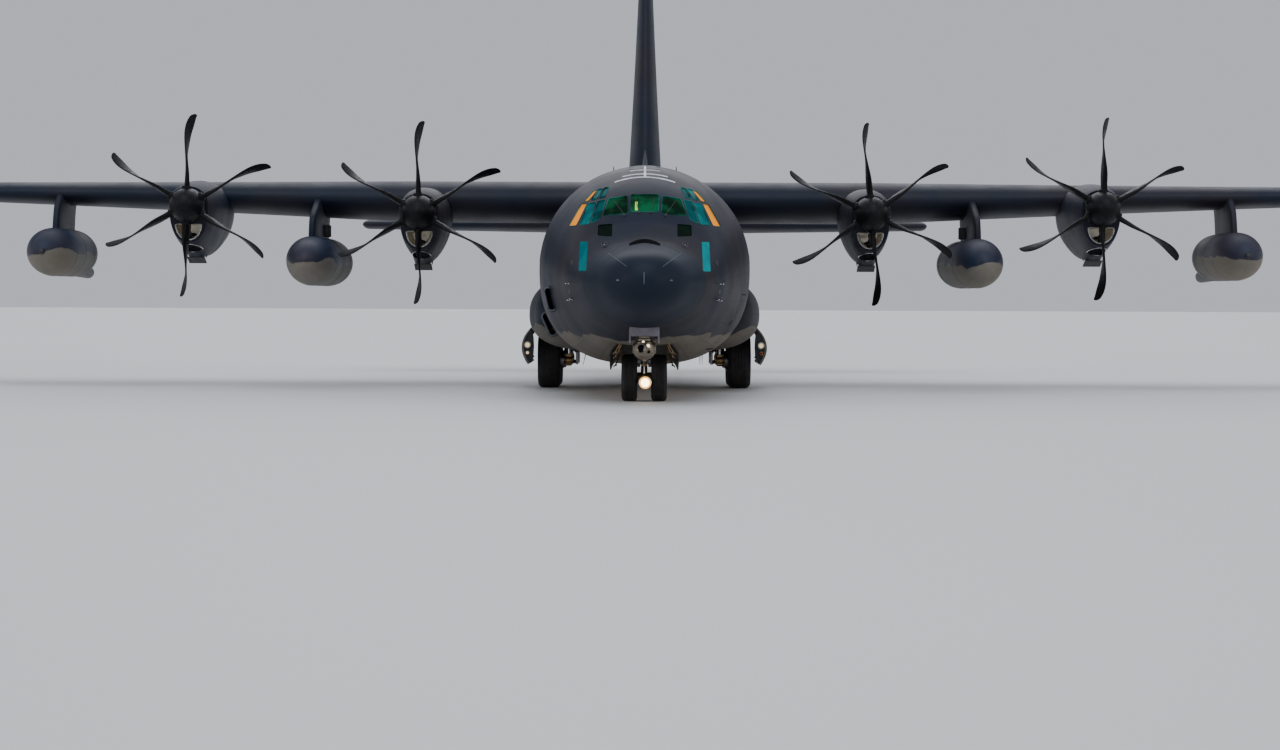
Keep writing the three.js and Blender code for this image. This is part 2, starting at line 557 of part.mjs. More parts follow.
// A rudder or elevator: round nose about its hinge, then flat sides to the trailing edge.
function flapRing(hinge, trail, half, place) {
  const nose = [90, 135, 180, 225, 270].map((d) => place(hinge + half * Math.cos(rad(d)), half * Math.sin(rad(d))));
  return [place(trail, 0.012), ...nose, place(trail, -0.012)];
}
const halfAt = (u, thick, chord) => foilHalf(u, thick) * chord + 0.005;

function makeTail() {
  const hinge = (z) => lerp(finLead(z), finTrail(z), RUDDER.frontShare);
  const half = (z) => halfAt(RUDDER.frontShare, FIN.thick, finTrail(z) - finLead(z));
  const rudderRing = (z) => flapRing(hinge(z), finTrail(z), half(z), (y, out) => upright(y, out, z));
  const bayRing = (z) => {
    const front = hinge(z) - half(z) - GAP;
    return [[front, -1], [front, 1], [front + 3, 1], [front + 3, -1]].map(([y, x]) => new THREE.Vector3(x, y, z));
  };
  const bay = loft([bayRing(RUDDER.bottom - END_GAP), bayRing(RUDDER.top + END_GAP)]);
  const cap = loft([finRing(FIN_TOP - 0.13), tailRing(
    finLead(FIN_TOP) + 0.35, finTrail(FIN_TOP) - 0.2, FIN_TOP, FIN.thick * 0.45, 0, upright)]);
  const dorsal = loft([
    [[17.6, 0.03, 4.88], [17.6, -0.03, 4.88], [17.6, 0, 4.895]],
    [[22.9, 0.3, 4.75], [22.9, -0.3, 4.75], [22.9, 0, 6.3]],
  ].map((ring) => ring.map(([y, x, z]) => new THREE.Vector3(x, y, z))));
  const fin = joined(finBlock(), cap, dorsal.subtract(hullSkin)).subtract(bay)
    .subtract(tailBlock(SEAT));
  add("fin", fin, UPPER_GREY);
  const rudderPin = hingePin(
    ...[RUDDER.bottom, RUDDER.top].map((z) => new THREE.Vector3(0, hinge(z), z)), END_GAP, "z");
  add("rudder", loft([rudderRing(RUDDER.bottom), rudderRing(RUDDER.top)]).add(rudderPin), UPPER_GREY);

  const elevatorHalf = (x) => {
    const chord = tailTrail(x) - tailLead(x);
    return halfAt((ELEVATOR.hinge - tailLead(x)) / chord, TAILPLANE.thick, chord);
  };
  const elevatorRing = (x) => flapRing(ELEVATOR.hinge, tailTrail(x), elevatorHalf(x),
    (y, up) => new THREE.Vector3(x, y, TAILPLANE.z + up));
  const bays = SIDES.map(([, side]) => {
    const ring = (x) => {
      const front = ELEVATOR.hinge - elevatorHalf(x) - GAP;
      return [[front, -1], [front, 1], [front + 3, 1], [front + 3, -1]]
        .map(([y, up]) => new THREE.Vector3(x * side, y, TAILPLANE.z + up));
    };
    return loft([ring(ELEVATOR.inner - GAP), ring(ELEVATOR.outer + GAP)]);
  });
  add("tailplane", tailBlock().subtract(joined(...bays)), UPPER_GREY);
  const elevatorEnds = [ELEVATOR.inner, ELEVATOR.outer];
  const elevatorPin = hingePin(
    ...elevatorEnds.map((x) => new THREE.Vector3(x, ELEVATOR.hinge, TAILPLANE.z)), GAP);
  const elevator = loft(elevatorEnds.map(elevatorRing)).add(elevatorPin);
  for (const [name, side] of SIDES) add(`elevator_${name}`, mirrored(elevator, side), UPPER_GREY);
}

// Wing pieces

function makeWing() {
  const surfaces = [...FLAPS.map(([name, from, to]) => [`flap_${name}`, from, to, FLAP_FRONT, FLAP_DROP]),
    ["aileron", ...AILERON, AILERON_FRONT, 0]];
  const bays = (side) => joined(...surfaces.map(([, from, to, front]) =>
    mirrored(bayBlock(from - END_GAP, to + END_GAP, front), side)));
  const centre = centreWing(0, WING.joint - SEAT).subtract(bays(1)).subtract(bays(-1));
  add("wing_center", centre, UPPER_GREY);
  const tipRing = wingRing(OUTER_WING_STOPS.at(-1));
  const tipMiddle = tipRing.reduce((sum, p) => sum.add(p), new THREE.Vector3()).divideScalar(tipRing.length);
  const capRing = tipRing.map((p) => new THREE.Vector3(
    HALF_SPAN, lerp(tipMiddle.y, p.y, 0.72), lerp(tipMiddle.z, p.z, 0.4)));
  const outer = loft([...OUTER_WING_STOPS.map((x) => wingRing(x)), capRing]).subtract(bays(1));
  for (const [name, side] of SIDES) {
    add(`wing_${name}`, mirrored(outer, side), UPPER_GREY);
    for (const [surface, ...sizes] of surfaces)
      add(`${surface}_${name}`, mirrored(surfaceBlock(...sizes), side), UPPER_GREY);
  }
}

// Engines

function nacelleBlock(x, z) {
  return loft(NACELLE.map(([y, half, top, bottom, roundness]) =>
    sectionRing([y, half, top, 0, bottom, 2.2, roundness], 0, 16).map((p) => p.add(new THREE.Vector3(x, 0, z)))));
}

const ellipse = (x, z, a, b, count = 14) => Array.from({ length: count }, (_, i) => {
  const angle = ((i + 0.5) / count) * 2 * Math.PI;
  return [x + a * Math.cos(angle), z + b * Math.sin(angle)];
});

const ENGINE_BLOCK = { half: 0.31, front: 9.32, back: 10.95, low: -0.25, high: 0.36 };
const ENGINE_ROOM = 0.08; // free width at each side of an engine

function makeNacelle([number, x, z]) {
  const e = ENGINE_BLOCK;
  const chinDuct = frontSlab(ellipse(x, z - 0.58, 0.28, 0.165), NACELLE_FRONT - 1, 10.3);
  const coolerDuct = frontSlab(ellipse(x, z - 0.87, 0.2, 0.07, 10), NACELLE_FRONT - 1, 10.3);
  const side = e.half + ENGINE_ROOM;
  const bay = joined(
    box([x - side, e.front, z - 0.3], [x + side, e.back + 0.1, z + e.high + 0.03]),
    box([x - 0.26, e.front, z - 0.55], [x + 0.26, e.back + 0.1, z]));
  const exhaust = rod([x, 13.8, z - 0.24], [x, 15, z - 0.3], 0.15, 12);
  const tailPipe = rod([x, 13.2, z - 0.22], [x, 14.16, z - 0.27], 0.19, 12);
  // The oil cooler's flared outlet under the chin
  const outlet = sideSlab(
    [[9.82, z - 1.02], [10.3, z - 1.28], [10.34, z - 1.28], [10.34, z - 1.0], [9.9, z - 0.98]], x - 0.215, x + 0.215);
  const body = joined(nacelleBlock(x, z), tailPipe, outlet).subtract(joined(chinDuct, coolerDuct, bay, exhaust));
  add(`nacelle_${number}`, body.subtract(wholeWing), UPPER_GREY);
  add(`engine_${number}`, box([x - e.half, e.front + SEAT, z + e.low], [x + e.half, e.back, z + e.high]), STEEL);
}

// A blade section: a thin lens with its chord turned by the pitch and its middle moved towards the trailing edge.
function bladeRing([radius, chord, thick, pitch, back]) {
  const c = Math.cos(rad(pitch));
  const s = Math.sin(rad(pitch));
  return [[0.5, 0], [0.15, 0.5], [-0.5, 0.08], [-0.5, -0.08], [0.15, -0.5]]
    .map(([along, up]) => {
      const a = along * chord - back;
      const t = up * thick;
      return new THREE.Vector3(-(a * c + t * s), -a * s + t * c, radius);
    });
}

function makePropeller([number, x, z, turn]) {
  const tip = PROP_PLANE - 0.62;
  const spinner = turned([
    [0, tip], [0.14, tip + 0.03], [0.27, tip + 0.16], [0.36, tip + 0.38], [SPINNER_RADIUS, tip + 0.68],
    [SPINNER_RADIUS, NACELLE_FRONT - GAP], [SHAFT_RADIUS, NACELLE_FRONT - GAP], [SHAFT_RADIUS, NACELLE_FRONT - SEAT],
    [0, NACELLE_FRONT - SEAT]], [0, 0, 0], "y", 16);
  const blade = loft(BLADE.map(bladeRing)).translate([0, PROP_PLANE, 0]);
  const blades = [0, 1, 2, 3, 4, 5].map((i) => blade.rotate([0, i * 60, 0]));
  const whole = joined(spinner, ...blades).rotate([0, -turn, 0]).translate([x, 0, z]);
  add(`propeller_${number}`, whole, BLACK);
}

// Stores

function storeBody(x, z, r, nose, front, back, tail) {
  return turned([
    [0, nose], [r * 0.42, nose + (front - nose) * 0.1], [r * 0.76, nose + (front - nose) * 0.35], [r * 0.95, nose + (front - nose) * 0.7],
    [r, front], [r, back], [r * 0.88, lerp(back, tail, 0.35)], [r * 0.58, lerp(back, tail, 0.7)], [0.06, tail], [0, tail]],
    [x, 0, z], "y", 18);
}

function makeStores() {
  for (const [kind, x, z, r, nose, front, back, tail] of STORES) {
    const isPod = kind === "refuelling_pod";
    const drogue = rod([x, 13.4, z - 0.4], [x, 15.1, z - 0.44], 0.15, 14);
    const body = storeBody(x, z, r, nose, front, back, tail);
    const whole = isPod ? body.add(drogue) : body;
    const low = z + r * 0.6;
    const outline = isPod
      ? [[10.95, low], [11.15, 4.2], [11.7, 4.75], [13.8, 4.7], [13.5, 4.2], [13.3, low]]
      : [[9.95, low], [10.15, 3.9], [11.15, 4.5], [14.1, 4.4], [13.9, 3.95], [13.6, low]];
    const bracket = box([x - 0.25, 11.9, 3.55], [x - 0.05, 12.0, 3.83]);
    const plate = sideSlab(outline, x - 0.11, x + 0.11);
    const pylon = (isPod ? plate : plate.add(bracket)).subtract(wholeWing).subtract(wholeWing.translate([0, 0, 0.4]))
      .subtract(storeBody(x, z, r + SEAT, nose, front, back, tail));
    for (const [name, side] of SIDES) {
      add(`${kind}_${name}`, mirrored(whole, side), LOWER_GREY);
      add(`${kind}_pylon_${name}`, mirrored(pylon, side), UPPER_GREY);
    }
  }
}

// Landing gear

// Wheel fairing sections: station, outer reach, top, height of the widest point, bottom
const FAIRING = [
  [9.0, 1.9, 2.1, 1.85, 1.6],
  [9.25, 2.25, 2.36, 1.82, 1.25],
  [9.8, 2.5, 2.58, 1.8, 1.05],
  [10.7, 2.66, 2.68, 1.76, 0.94],
  [11.8, 2.7, 2.7, 1.75, 0.92],
  [15.2, 2.7, 2.7, 1.75, 0.92],
  [16.1, 2.5, 2.5, 1.78, 1.08],
  [16.9, 2.06, 2.2, 1.8, 1.4],
];
const FAIRING_CENTRE = 1.3;

function makeFairings() {
  const body = loft(FAIRING.map(([y, reach, top, middle, bottom]) =>
    sectionRing([y, reach - FAIRING_CENTRE, top, middle, bottom, 2.3, 2.4], 0, 28)
      .map((p) => p.add(new THREE.Vector3(FAIRING_CENTRE, 0, 0)))));
  const well = box([0, WELL.front, -1], [WELL.outer, WELL.back, WELL.roof]);
  const whole = body.subtract(hullSkin).subtract(well);
  const outboard = whole.intersect(box([1, 8, 0], [4, 18, 4]));
  for (const [name, side] of SIDES)
    add(`wheel_fairing_${name}`, mirrored(biggest(outboard), side), UPPER_GREY);
}

const biggest = (solid) => solid.decompose().reduce((a, b) => (a.volume() > b.volume() ? a : b));

function tyreAndRim(tyre, bore) {
  const r = tyre.radius;
  const h = tyre.half;
  const rim = r * 0.5;
  return [
    [bore, -h * HUB_FACE], [rim * 0.92, -h * HUB_FACE], [rim, -h * 0.95], [r * 0.8, -h], [r * 0.95, -h * 0.78], [r, -h * 0.45],
    [r, h * 0.45], [r * 0.95, h * 0.78], [r * 0.8, h], [rim, h * 0.95], [rim * 0.92, h * HUB_FACE],
    [bore, h * HUB_FACE], [bore, -h * HUB_FACE]];
}

function makeMainGear() {
  for (const [name, side] of SIDES) {
    const struts = MAIN_AXLES.map(([, y]) => joined(
      rod([STRUT_OUT, y, MAIN_AXLE_HEIGHT - 0.1], [STRUT_OUT, y, 1.15], 0.075),
      rod([STRUT_OUT, y, 1.0], [STRUT_OUT, y, WELL.roof - SEAT], 0.105),
      rod([STRUT_OUT - 0.1, y, MAIN_AXLE_HEIGHT], [MAIN_TRACK - HUB_FACE * MAIN_TYRE.half - SEAT, y, MAIN_AXLE_HEIGHT], 0.11),
      rod([STRUT_OUT, y, MAIN_AXLE_HEIGHT], [MAIN_TRACK + 0.19, y, MAIN_AXLE_HEIGHT], 0.06)));
    const brace = rod([STRUT_OUT, MAIN_AXLES[0][1], 1.35], [STRUT_OUT, MAIN_AXLES[1][1], 1.35], 0.05, 10);
    add(`main_gear_leg_${name}`, mirrored(joined(...struts, brace), side), STEEL);
    for (const [place, y] of MAIN_AXLES)
      add(`main_wheel_${place}_${name}`,
        mirrored(turned(tyreAndRim(MAIN_TYRE, 0.066), [MAIN_TRACK, y, MAIN_AXLE_HEIGHT], "x"), side), RUBBER);
    // The door hangs open outboard of the wheels, a curved plate with two lamps at its front edge
    const outside = [[2.64, 1.46], [2.79, 1.28], [2.88, 1.06], [2.87, 0.82], [2.74, 0.57]];
    const inside = [[2.71, 0.59], [2.83, 0.84], [2.84, 1.05], [2.74, 1.24], [2.5, 1.4]];
    const lamps = [[1.02, 0.085], [0.83, 0.045]].map(([z, r]) => rod([2.77, 11.85, z], [2.77, 12.0, z], r, 12));
    const rib = frontSlab([[2.76, 1.22], [2.85, 1.05], [2.82, 0.82], [2.72, 0.6], [2.66, 0.75], [2.66, 1.1]], 11.95, 11.99);
    const door = joined(frontSlab([...outside, ...inside], WELL.front, WELL.back), rib, ...lamps)
      .subtract(fairingSkin());
    add(`main_gear_door_${name}`, mirrored(biggest(door), side), UPPER_GREY);
  }
}

const fairingSkin = () => loft(FAIRING.map(([y, reach, top, middle, bottom]) =>
  sectionRing([y, reach - FAIRING_CENTRE, top, middle, bottom, 2.3, 2.4], -SEAT, 28)
    .map((p) => p.add(new THREE.Vector3(FAIRING_CENTRE, 0, 0)))));

function makeNoseGear() {
  const y = NOSE_AXLE;
  const room = box([-NOSE_WELL.half, NOSE_WELL.front, 0], [NOSE_WELL.half, NOSE_WELL.back, NOSE_WELL.roof - SEAT]);
  const leg = joined(
    rod([0, y, 1.02], [0, y, 2], 0.12),
    rod([0, y, 1.2], [0, y + 0.75, 1.9], 0.05, 10));
  add("nose_gear_leg", leg.intersect(room), STEEL);
  const hub = NOSE_WHEEL_OUT - HUB_FACE * NOSE_TYRE.half - SEAT;
  const fork = joined(
    rod([0, y, NOSE_AXLE_HEIGHT], [0, y, 1.02 - SEAT], 0.085),
    rod([-hub, y, NOSE_AXLE_HEIGHT], [hub, y, NOSE_AXLE_HEIGHT], 0.11),
    rod([0, y - 0.2, 0.86], [0, y - 0.05, 0.86], 0.1, 14))
    .subtract(rod([-0.3, y, NOSE_AXLE_HEIGHT], [0.3, y, NOSE_AXLE_HEIGHT], 0.066));
  add("nose_gear_fork", fork, STEEL);
  const wheel = turned(tyreAndRim(NOSE_TYRE, 0.03), [0, 0, 0], "x");
  const axle = rod([-NOSE_WHEEL_OUT - 0.08, 0, 0], [NOSE_WHEEL_OUT + 0.08, 0, 0], 0.06);
  const pair = joined(axle, wheel.translate([-NOSE_WHEEL_OUT, 0, 0]), wheel.translate([NOSE_WHEEL_OUT, 0, 0]));
  add("nose_wheels", pair.translate([0, y, NOSE_AXLE_HEIGHT]), RUBBER);
  const t = TURRET;
  const ball = solidOf(new THREE.SphereGeometry(t.radius, 16, 10).translate(0, t.station, t.height));
  const neck = rod([0, t.station, t.height], [0, t.station, t.seat - SEAT], 0.16);
  add("sensor_turret", joined(ball, neck), STEEL);
}

add("nose_radome", hullOuter.intersect(slice(-1, RADOME_END)), UPPER_GREY);
makeFlightDeck();
makeFlightDeckFloor();
makeHold();
makeRear();
makeTail();
makeWing();
ENGINES.forEach(makeNacelle);
ENGINES.forEach(makePropeller);
makeStores();
makeFairings();
makeMainGear();
makeNoseGear();

plane.position.set(0, (-LENGTH / 2) * MODEL_SCALE * MM_PER_METRE, 0);
plane.scale.setScalar(MODEL_SCALE * MM_PER_METRE);
export default plane;
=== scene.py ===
"""Dresses a half-scale military transport plane: skins, paint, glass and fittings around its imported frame.

Shapes are worked out in the aircraft's full-size metres, with x to its left side, y aft from the nose tip and
z up from the ground. placed() turns them into the half-scale model's own frame.
"""

import json
import math

import bpy
import numpy as np
from mathutils import Euler, Matrix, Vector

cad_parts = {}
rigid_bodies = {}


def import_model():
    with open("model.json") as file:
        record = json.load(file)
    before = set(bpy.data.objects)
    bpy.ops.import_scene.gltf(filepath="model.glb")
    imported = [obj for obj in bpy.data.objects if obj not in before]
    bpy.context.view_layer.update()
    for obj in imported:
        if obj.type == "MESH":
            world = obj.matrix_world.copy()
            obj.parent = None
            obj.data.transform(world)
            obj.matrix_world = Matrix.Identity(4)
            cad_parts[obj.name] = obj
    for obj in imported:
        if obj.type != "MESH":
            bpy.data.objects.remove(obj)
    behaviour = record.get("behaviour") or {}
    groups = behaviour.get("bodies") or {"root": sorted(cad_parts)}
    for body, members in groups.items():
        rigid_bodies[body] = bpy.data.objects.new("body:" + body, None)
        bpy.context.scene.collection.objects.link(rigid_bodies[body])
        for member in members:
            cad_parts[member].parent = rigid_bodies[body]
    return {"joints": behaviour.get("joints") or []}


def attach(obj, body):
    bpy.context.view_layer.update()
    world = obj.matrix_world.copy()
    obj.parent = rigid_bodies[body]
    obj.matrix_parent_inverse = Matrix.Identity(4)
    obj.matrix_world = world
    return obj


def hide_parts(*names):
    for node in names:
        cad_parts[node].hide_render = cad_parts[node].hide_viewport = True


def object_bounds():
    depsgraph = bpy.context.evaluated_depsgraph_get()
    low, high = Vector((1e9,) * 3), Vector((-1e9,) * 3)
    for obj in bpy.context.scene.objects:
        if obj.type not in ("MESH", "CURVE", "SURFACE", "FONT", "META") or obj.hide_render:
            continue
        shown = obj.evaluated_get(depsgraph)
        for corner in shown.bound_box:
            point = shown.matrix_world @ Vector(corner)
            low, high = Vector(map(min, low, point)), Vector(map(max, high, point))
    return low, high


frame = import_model()

bl_info = {
    "name": "Military transport plane",
    "version": (1, 0, 0),
    "blender": (4, 5, 0),
    "location": "View3D > Sidebar > Transport plane",
    "description": "Builds the skins, paint, glass and fittings of a half-scale military transport plane",
    "category": "Object",
}

CAD_LOW, CAD_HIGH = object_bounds()
MODEL_SCALE = 0.5
LENGTH = (CAD_HIGH.y - CAD_LOW.y) / MODEL_SCALE
HALF_SPAN = CAD_HIGH.x / MODEL_SCALE
FIN_TOP = CAD_HIGH.z / MODEL_SCALE
SIDES = (("left", 1), ("right", -1))
SKIN_STEP = 0.13  # spacing of the fuselage's rows of points
ROUND = 144  # points round the fuselage

# Where the fuselage is split, its wall, floor and gaps
RADOME_END = 1.5
FLIGHT_DECK_END = 6.6
HOLD_END = 18.76
WALL = 0.12
FLOOR_BOTTOM, FLOOR_TOP = 0.97, 1.03
GAP = 0.014

HULL_HALF = 2.31
# Fuselage sections: station, half width, top, height of the widest point, bottom, upper and lower roundness
FUSELAGE = np.array([
    [0.0, 0.05, 2.5, 2.45, 2.4, 2, 2],
    [0.06, 0.27, 2.7, 2.45, 2.2, 2, 2],
    [0.2, 0.48, 2.87, 2.45, 2.06, 2, 2],
    [0.5, 0.76, 3.03, 2.46, 1.9, 2, 2],
    [0.95, 1.0, 3.14, 2.48, 1.75, 2, 2],
    [1.5, 1.24, 3.27, 2.5, 1.59, 2, 2.05],
    [2.3, 1.51, 3.72, 2.55, 1.36, 2, 2.1],
    [2.7, 1.62, 4.03, 2.58, 1.25, 2, 2.15],
    [3.1, 1.71, 4.29, 2.61, 1.14, 2, 2.2],
    [3.9, 1.89, 4.62, 2.68, 0.95, 2, 2.3],
    [4.8, 2.07, 4.84, 2.74, 0.82, 2, 2.4],
    [5.7, 2.21, 4.96, 2.78, 0.74, 2, 2.5],
    [6.6, 2.29, 5.02, 2.8, 0.7, 2, 2.5],
    [7.8, HULL_HALF, 5.02, 2.8, 0.7, 2, 2.5],
    [17.5, HULL_HALF, 4.98, 2.8, 0.7, 2, 2.5],
    [18.76, 2.26, 4.97, 2.85, 0.74, 2, 2.5],
    [20.3, 2.13, 4.94, 3.0, 1.38, 2, 2.5],
    [22.0, 1.88, 4.91, 3.25, 2.08, 2, 2.5],
    [24.0, 1.46, 4.87, 3.62, 2.9, 2, 2.4],
    [26.0, 0.98, 4.8, 3.96, 3.45, 2, 2.2],
    [28.0, 0.55, 4.66, 4.16, 3.78, 2, 2],
    [29.3, 0.27, 4.47, 4.22, 4.0, 2, 2],
    [LENGTH, 0.05, 4.29, 4.24, 4.19, 2, 2],
])


# Shapes


class Shape:
    """Corners in full-size metres, and faces as arrays of corner numbers with one row for each face."""

    def __init__(self, points, faces):
        self.points = np.asarray(points, float).reshape(-1, 3)
        self.faces = [np.asarray(rows, int) for rows in faces if len(rows)]

    def __add__(self, other):
        count = len(self.points)
        faces = self.faces + [rows + count for rows in other.faces]
        return Shape(np.vstack([self.points, other.points]), faces)

    def at(self, x=0.0, y=0.0, z=0.0):
        return Shape(self.points + [x, y, z], self.faces)

    def turned(self, degrees, axis, about=(0, 0, 0)):
        matrix = np.array(Matrix.Rotation(math.radians(degrees), 3, axis))
        return Shape((self.points - about) @ matrix.T + about, self.faces)

    def flipped(self):
        return Shape(self.points, [rows[:, ::-1] for rows in self.faces])

    def on_side(self, side):
        """The shape itself on the left, or its mirror image on the right."""
        return self if side > 0 else Shape(self.points * [-1, 1, 1], self.faces).flipped()

    def copies(self, offsets):
        """One copy of the shape at each offset."""
        offsets = np.asarray(offsets, float).reshape(-1, 1, 3)
        points = (self.points[None] + offsets).reshape(-1, 3)
        starts = (np.arange(len(offsets)) * len(self.points)).reshape(-1, 1, 1)
        return Shape(points, [(rows[None] + starts).reshape(-1, rows.shape[1]) for rows in self.faces])

    def volume(self):
        """Six times the signed volume: the sum over each face's fan of triangles of a · (b × c)."""
        total = 0.0
        for rows in self.faces:
            corner = self.points[rows]
            for k in range(1, rows.shape[1] - 1):
                total += np.einsum("ij,ij->", corner[:, 0], np.cross(corner[:, k], corner[:, k + 1]))
        return total

    def outward(self):
        return self if self.volume() >= 0 else self.flipped()


def joined(shapes):
    whole = Shape(np.zeros((0, 3)), [])
    for shape in shapes:
        whole = whole + shape
    return whole


def columns(*values):
    """The values side by side along a new last axis, each spread over the shape of them all."""
    return np.stack(np.broadcast_arrays(*values), -1)


def turns(count):
    """Equal steps of angle round a full circle."""
    return np.arange(count) / count * 2 * math.pi


def loft(rings, wrap=False):
    """Quads between neighbouring rings of points, each closed on itself. With wrap the last ring joins the
    first, and otherwise a fan about its middle closes each end."""
    rings = np.asarray(rings, float)
    rows, count = rings.shape[:2]
    grid = np.arange(rows * count).reshape(rows, count)
    if wrap:
        grid = np.vstack([grid, grid[:1]])
    near, far = grid[:-1], grid[1:]
    quads = columns(near, np.roll(near, -1, 1), np.roll(far, -1, 1), far).reshape(-1, 4)
    if wrap:
        return Shape(rings, [quads]).outward()
    middles = np.array([rings[0].mean(0), rings[-1].mean(0)])
    hubs = rows * count + np.arange(2)
    first = columns(np.roll(grid[0], -1), grid[0], np.full(count, hubs[0]))
    last = columns(grid[-1], np.roll(grid[-1], -1), np.full(count, hubs[1]))
    points = np.vstack([rings.reshape(-1, 3), middles])
    return Shape(points, [quads, np.vstack([first, last])]).outward()


def slab(upper, lower):
    """A closed sheet between two grids of points of one size: the upper and lower faces and the rim round
    them."""
    rows, count = upper.shape[:2]
    grid = np.arange(rows * count).reshape(rows, count)
    face = columns(grid[:-1, :-1], grid[:-1, 1:], grid[1:, 1:], grid[1:, :-1]).reshape(-1, 4)
    rim = np.concatenate([grid[0], grid[1:, -1], grid[-1, -2::-1], grid[-2:0:-1, 0]])
    under = rows * count
    wall = columns(rim, np.roll(rim, -1), np.roll(rim, -1) + under, rim + under)
    points = np.vstack([upper.reshape(-1, 3), lower.reshape(-1, 3)])
    return Shape(points, [face, face[:, ::-1] + under, wall[:, ::-1]]).outward()


def prism(outline, axis, low, high):
    """An outline of two coordinates, in the order of the axes that are left, extruded along the third
    axis."""
    outline = np.asarray(outline, float)
    count = len(outline)
    places = [i for i in range(3) if i != "xyz".index(axis)]
    points = np.zeros((2, count, 3))
    points[:, :, places] = outline
    points[0, :, "xyz".index(axis)] = low
    points[1, :, "xyz".index(axis)] = high
    ring = np.arange(count)
    wall = columns(ring, np.roll(ring, -1), np.roll(ring, -1) + count, ring + count)
    return Shape(points, [wall, ring[::-1][None], (ring + count)[None]]).outward()


def box(low, high):
    (x0, y0, z0), (x1, y1, z1) = low, high
    return prism([(y0, z0), (y1, z0), (y1, z1), (y0, z1)], "x", x0, x1)


def eased_box(low, high, ease):
    """A box whose twelve edges are chamfered by ease: three stacked outlines with cut corners."""
    (x0, y0, z0), (x1, y1, z1) = low, high

    def ring(inset, z):
        a, b, c, d = x0 + inset, x1 - inset, y0 + inset, y1 - inset
        corners = [(a, c + ease), (a + ease, c), (b - ease, c), (b, c + ease), (b, d - ease), (b - ease, d),
                   (a + ease, d), (a, d - ease)]
        return [(x, y, z) for x, y in corners]

    return loft([ring(ease, z0), ring(0, z0 + ease), ring(0, z1 - ease), ring(ease, z1)])


def frame_of(direction):
    """Two unit vectors square to a direction and to each other, for each row of directions."""
    direction = direction / np.linalg.norm(direction, axis=-1, keepdims=True)
    helper = np.where(np.abs(direction[..., 2:3]) > 0.9, [[1.0, 0, 0]], [[0, 0, 1.0]])
    across = np.cross(direction, helper)
    across /= np.linalg.norm(across, axis=-1, keepdims=True)
    return across, np.cross(direction, across)


def tube(path, radius, sides, closed=False):
    """A round section carried along a path: each point gets a circle square to the path's direction
    there."""
    path = np.asarray(path, float)
    if closed:
        along = np.roll(path, -1, 0) - np.roll(path, 1, 0)
    else:
        along = np.gradient(path, axis=0)
    across, up = frame_of(along)
    angle = turns(sides)
    radius = np.broadcast_to(radius, len(path)).reshape(-1, 1, 1)
    circle = across[:, None] * np.cos(angle)[:, None] + up[:, None] * np.sin(angle)[:, None]
    return loft(path[:, None] + circle * radius, wrap=closed)


def rod(start, end, radius, sides=24):
    return tube([start, end], radius, sides)


def revolved(profile, centre, axis, sides, closed=False):
    """A profile of radius and distance along an axis through the centre, turned once round it. A closed
    profile is a ring's section."""
    profile = np.asarray(profile, float)
    angle = turns(sides)
    radius, along = profile[:, :1], np.broadcast_to(profile[:, 1:], (len(profile), sides))
    first, second = radius * np.cos(angle), radius * np.sin(angle)
    order = {"x": (along, first, second), "y": (first, along, second), "z": (first, second, along)}[axis]
    return loft(np.stack(order, -1) + np.asarray(centre, float), wrap=closed)


def rounded(outline, radius, steps=5):
    """An outline with each corner replaced by an arc: a quadratic curve between points one radius from
    it."""
    outline = np.asarray(outline, float)
    before, after = np.roll(outline, 1, 0) - outline, np.roll(outline, -1, 0) - outline
    shorter = np.minimum(np.linalg.norm(before, axis=1), np.linalg.norm(after, axis=1))
    reach = np.minimum(radius, shorter * 0.45)
    enter = outline + before / np.linalg.norm(before, axis=1, keepdims=True) * reach[:, None]
    leave = outline + after / np.linalg.norm(after, axis=1, keepdims=True) * reach[:, None]
    t = np.linspace(0, 1, steps).reshape(1, -1, 1)
    arcs = enter[:, None] * (1 - t) ** 2 + 2 * outline[:, None] * t * (1 - t) + leave[:, None] * t**2
    return arcs.reshape(-1, 2)


def ellipse(x, z, half_width, half_height, count):
    angle = turns(count)
    return columns(x + half_width * np.cos(angle), z + half_height * np.sin(angle))


def smooth(stations, values, at):
    """A monotone cubic through the values: each inner slope is the harmonic mean of its two chords'
    slopes."""
    step = np.diff(stations)
    chord = np.diff(values) / step
    slope = np.zeros(len(values))
    rising = chord[:-1] * chord[1:] > 0
    both = np.where(rising, chord[:-1] + chord[1:], 1.0)
    slope[1:-1] = np.where(rising, 2 * chord[:-1] * chord[1:] / both, 0.0)
    slope[0], slope[-1] = chord[0], chord[-1]
    k = np.clip(np.searchsorted(stations, at) - 1, 0, len(step) - 1)
    t = np.clip((at - stations[k]) / step[k], 0, 1)
    h = step[k]
    return (values[k] * (1 + 2 * t) * (1 - t) ** 2 + slope[k] * h * t * (1 - t) ** 2
            + values[k + 1] * t**2 * (3 - 2 * t) + slope[k + 1] * h * t**2 * (t - 1))


def placed(points):
    """Full-size points in the half-scale model's frame, with the middle of the length at y = 0."""
    return (np.asarray(points, float) - [0, LENGTH / 2, 0]) * MODEL_SCALE


def unplaced(points):
    return np.asarray(points, float) / MODEL_SCALE + [0, LENGTH / 2, 0]


PIVOTS = {joint["name"]: unplaced(joint["pos_m"]) for joint in frame["joints"]}


# Pieces


